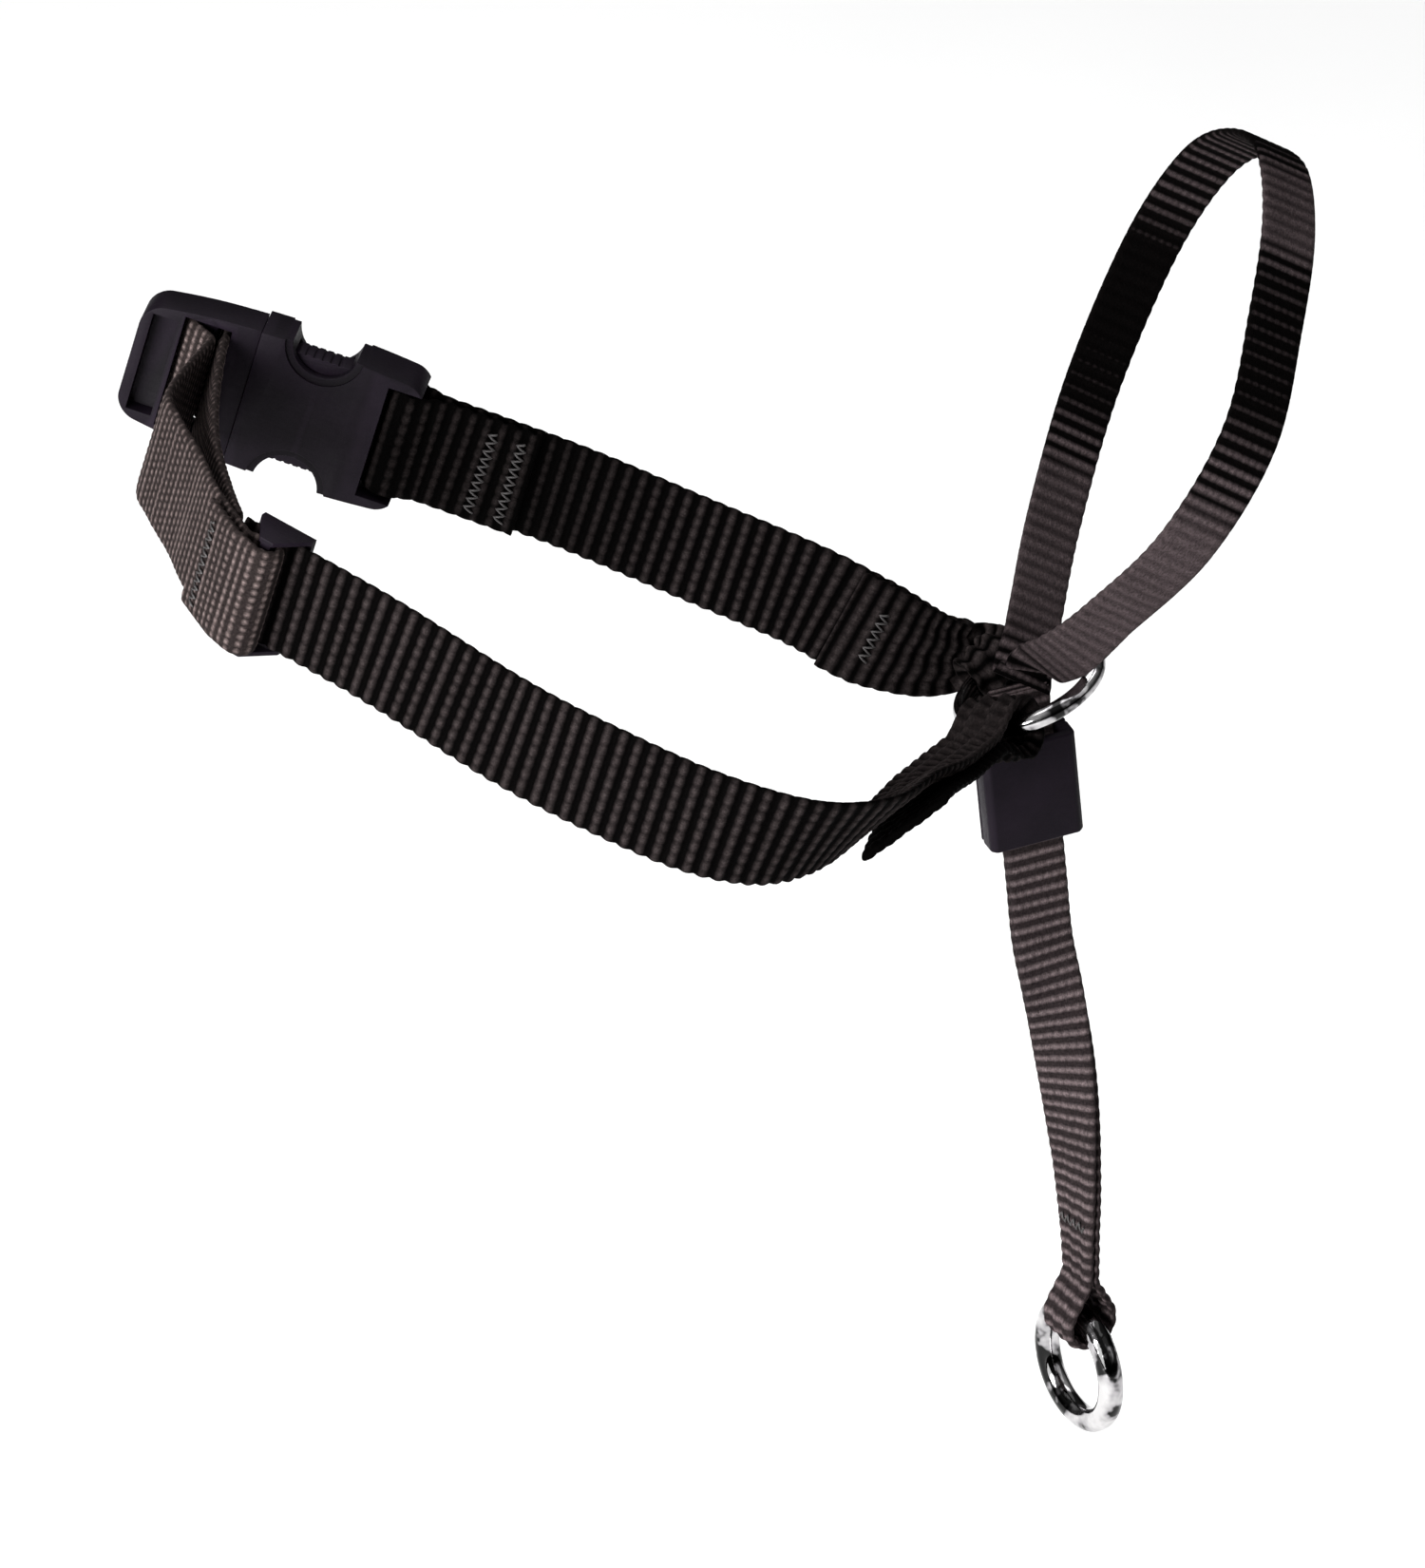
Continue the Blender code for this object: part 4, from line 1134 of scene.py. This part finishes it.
def clamp(finish):
    """A sleeve in two halves: a body with a channel for the tail, and a hinged gate."""
    place = clamp_frame()
    half_wide, half_high = CLAMP_WIDTH / 2, CLAMP_HEIGHT / 2
    back, front = -CLAMP_THICK / 2, CLAMP_THICK / 2
    split = back + CLAMP_BACK
    channel = NOSE_WEAVE.width / 2 + CLAMP_ROOM
    floor = -(NOSE_WEAVE.thick + GAP / 2 + GAP)
    body_outline = [
        (-half_wide, split),
        (-half_wide, back + CLAMP_CORNER),
        (-half_wide + CLAMP_CORNER, back),
        (half_wide - CLAMP_CORNER, back),
        (half_wide, back + CLAMP_CORNER),
        (half_wide, split),
        (channel, split),
        (channel, floor),
        (-channel, floor),
        (-channel, split),
    ]
    body = prism("clamp_sleeve", body_outline, -half_high, half_high, place, finish)
    rounded(body, CLAMP_ROUND)
    stand_for(body, "clamp", "moulded_plastic", "clamp_body")
    pin = (-half_wide + CLAMP_CORNER, split + CLAMP_CORNER)
    gate_outline = [
        (-half_wide, split + CLAMP_CORNER),
        (-half_wide + CLAMP_CORNER, split + GAP),
        (half_wide, split + GAP),
        (half_wide, front - CLAMP_CORNER),
        (half_wide - CLAMP_CORNER, front),
        (-half_wide + CLAMP_CORNER, front),
    ]
    local = [(x - pin[0], y - pin[1]) for x, y in gate_outline]
    gate_place = place @ Matrix.Translation((*pin, 0))
    gate = prism("clamp_door", local, -half_high, half_high, gate_place, finish)
    rounded(gate, GATE_ROUND)
    stand_for(gate, "gate", "moulded_plastic", "clamp_gate")


# --- rings and stitching


def steel_ring(name, place, radius, wire, finish, turns=160, sides=28):
    """A closed ring of round wire, with a slight ridge where it was welded."""
    points = []
    for i in range(turns):
        a = 2 * math.pi * i / turns
        weld = 1 + WELD_RISE * math.exp(-(((a - WELD_TURN) / WELD_SPREAD) ** 2))
        for j in range(sides):
            b = 2 * math.pi * j / sides
            reach = radius + wire * weld * math.cos(b)
            points.append((reach * math.cos(a), reach * math.sin(a), wire * weld * math.sin(b)))
    faces = []
    for i in range(turns):
        for j in range(sides):
            i2, j2 = (i + 1) % turns, (j + 1) % sides
            faces.append((i * sides + j, i2 * sides + j, i2 * sides + j2, i * sides + j2))
    mesh = mesh_from(name, points, faces)
    mesh.shade_smooth()
    return add_object(name, mesh, place, finish)


def rings(finish):
    centre = steel_ring("joining_ring", placement(RING, RING_X, RING_Y, RING_NORMAL),
                        CENTRE_RING_RADIUS, CENTRE_RING_WIRE, finish)
    stand_for(centre, "neck_ring", "ring_steel", "centre_ring")
    eye = placement(LEASH_EYE, LEASH_ACROSS, -DOWN, LEASH_ACROSS.cross(-DOWN))
    drop = Matrix.Translation((0, -LEASH_RING_RADIUS, 0))
    leash = steel_ring("lead_ring", eye @ drop, LEASH_RING_RADIUS, LEASH_RING_WIRE, finish)
    stand_for(leash, "hanging_ring", "ring_steel", "leash_ring")


def station_at(stations, distance):
    """The framed station a distance along a strap, between the two it falls between."""
    framed = with_normals(stations)
    for before, here in zip(framed, framed[1:]):
        step = (here[0] - before[0]).length
        if step >= distance:
            break
        distance -= step
    share = distance / step
    return [a + (b - a) * share for a, b in zip(before, here)]


def thread_points(width, row, stitches):
    """A zigzag of stitches across a strap, each one dipping into the webbing at its ends."""
    steps = 5
    points = []
    for k in range(stitches):
        x0, x1 = (-width / 2 + width * (k + end) / stitches for end in (0, 1))
        y0 = row / 2 if k % 2 else -row / 2
        for i in range(steps):
            t = i / steps
            rise = THREAD_ARCH * math.sin(math.pi * t) - THREAD_DIP
            points.append(Vector((x0 + (x1 - x0) * t, y0 - 2 * y0 * t, rise)))
    return points


def tube(name, points, radius, place, finish, sides=7):
    """A round thread along points, its two ends closed."""
    made = []
    count = len(points)
    for i, point in enumerate(points):
        along = (points[min(i + 1, count - 1)] - points[max(i - 1, 0)]).normalized()
        side = square_to(Vector((0, 0, 1)), along)
        other = along.cross(side)
        for j in range(sides):
            turn = 2 * math.pi * j / sides
            made.append(point + (side * math.cos(turn) + other * math.sin(turn)) * radius)
    ends = [list(range(a, a + sides)) for a in (0, (count - 1) * sides)]
    mesh = mesh_from(name, made, quads_round(count, sides) + ends)
    mesh.shade_smooth()
    return add_object(name, mesh, place, finish)


def bartack(name, stations, distance, side, width, thick, body, finish):
    """One row of zigzag stitches across a strap, in place of the CAD's strip of thread."""
    centre, across, _, out = station_at(stations, distance)
    across = across.normalized()
    out = square_to(out, across) * side
    place = placement(centre + out * (thick / 2 + THREAD_LIFT), across, out.cross(across), out)
    stitches = round(width / STITCH_PITCH)
    thread = tube(f"{name}_stitches", thread_points(width, THREAD_ROW, stitches), THREAD_RADIUS,
                  place, finish)
    stand_for(thread, body, "thread", name)


def stitching(bar_ply, far_ring_ply, near_ring_ply, adjuster_ply, tail_front, finish):
    """Each bartack: its strap, distance along it, side, width, the webbing under it and its body."""
    thick = NECK_WEAVE.thick
    rows = (
        ("bartack_buckle_first", bar_ply, 0.009, 1, 0.0150, thick, "neck_band"),
        ("bartack_buckle_second", bar_ply, 0.014, 1, 0.0150, thick, "neck_band"),
        ("bartack_far_ring", far_ring_ply, 0.019, -1, 0.0090, thick, "neck_band"),
        ("bartack_near_ring", near_ring_ply, 0.018, -1, 0.0090, thick, "neck_band"),
        ("bartack_slider", adjuster_ply, 0.006, -1, 0.0150, thick, "slider"),
        ("bartack_tail", tail_front, 0.101, 1, 0.0066, NOSE_WEAVE.thick, "tail_end"),
    )
    for row in rows:
        bartack(*row, finish)


# --- the studio


def floor(height, finish):
    half = 6.0
    points = [(-half, -half, 0), (half, -half, 0), (half, half, 0), (-half, half, 0)]
    mesh = mesh_from("studio_floor", points, [(0, 1, 2, 3)])
    add_object("studio_floor", mesh, Matrix.Translation((0, 0, height)), finish)


def soft_light(name, direction, distance, size, power):
    """A square soft light that faces the object from a direction."""
    data = bpy.data.lights.new(name, "AREA")
    data.shape = "SQUARE"
    data.size = size
    data.energy = power
    light = bpy.data.objects.new(name, data)
    way = Vector(direction).normalized()
    light.location = VIEW_AIM + way * distance
    light.rotation_euler = way.to_track_quat("Z", "Y").to_euler()
    bpy.context.scene.collection.objects.link(light)


def surroundings():
    """A studio that is pale overhead and darker round the sides, so that the steel has contrast."""
    world = bpy.data.worlds.new("studio")
    world.use_nodes = True
    tree = world.node_tree
    split = tree.nodes.new("ShaderNodeSeparateXYZ")
    tree.links.new(coordinates(tree, "Generated"), split.inputs["Vector"])
    colour = ramp(tree, split.outputs["Z"], (0.0, (0.02, 0.02, 0.02)), (0.3, (0.04, 0.04, 0.04)),
                  (0.9, (0.45, 0.45, 0.45)))
    tree.links.new(colour, tree.nodes["Background"].inputs["Color"])
    bpy.context.scene.world = world


def camera():
    data = bpy.data.cameras.new("camera")
    data.lens = LENS
    data.sensor_width = SENSOR
    data.clip_end = 20.0
    back = Vector((0, -math.cos(VIEW_ELEVATION), math.sin(VIEW_ELEVATION)))
    view = bpy.data.objects.new("camera", data)
    view.location = VIEW_AIM + back * (VIEW_HEIGHT * LENS / SENSOR)
    view.rotation_euler = back.to_track_quat("Z", "Y").to_euler()
    bpy.context.scene.collection.objects.link(view)
    bpy.context.scene.camera = view


def studio():
    bpy.context.scene.view_settings.view_transform = "Standard"
    floor(CAD_BOX[0].z - FLOOR_DROP, pale_floor())
    surroundings()
    soft_light("key", (-0.75, -0.95, 0.35), 1.2, 0.7, 46)
    soft_light("fill", (1.0, -0.5, 0.8), 1.4, 1.0, 2)
    soft_light("top", (0.1, 0.3, 1.0), 1.2, 1.2, 12)
    camera()


def main():
    # copies of one black nylon, each painted to how its part is lit: the adjuster loop and the tail
    # lightest as painted light, the nose loop darker and the neck straps darkest as painted shade
    neck_nylon_painted_shade = nylon("neck_nylon_painted_shade", (0.0004, 0.0003, 0.0003), (0.020, 0.0160, 0.0160), 0.002)
    loop_nylon_painted_light = nylon("loop_nylon_painted_light", (0.0120, 0.0093, 0.0090), (0.100, 0.077, 0.074), 0.01)
    nose_nylon_painted_half_shade = nylon("nose_nylon_painted_half_shade", (0.0008, 0.0006, 0.0006), (0.052, 0.040, 0.042), 0.002)
    tail_nylon_painted_light = nylon("tail_nylon_painted_light", (0.0120, 0.0093, 0.0096), (0.086, 0.067, 0.069), 0.002)
    plastic = moulded_plastic()
    thread = sewing_thread()

    bar_ply, far_ring_ply = far_strap(neck_nylon_painted_shade)
    near_ring_ply = near_strap(neck_nylon_painted_shade)
    adjuster_ply = adjuster_strap(loop_nylon_painted_light)
    nose_loop(nose_nylon_painted_half_shade)
    tail_front = tail(tail_nylon_painted_light)
    stitching(bar_ply, far_ring_ply, near_ring_ply, adjuster_ply, tail_front, thread)

    female_housing(plastic)
    male_frame(plastic)
    latch_arm("upper", 1, plastic)
    latch_arm("lower", -1, plastic)
    strap_slider(plastic)
    clamp(plastic)
    rings(ring_steel())
    studio()


main()
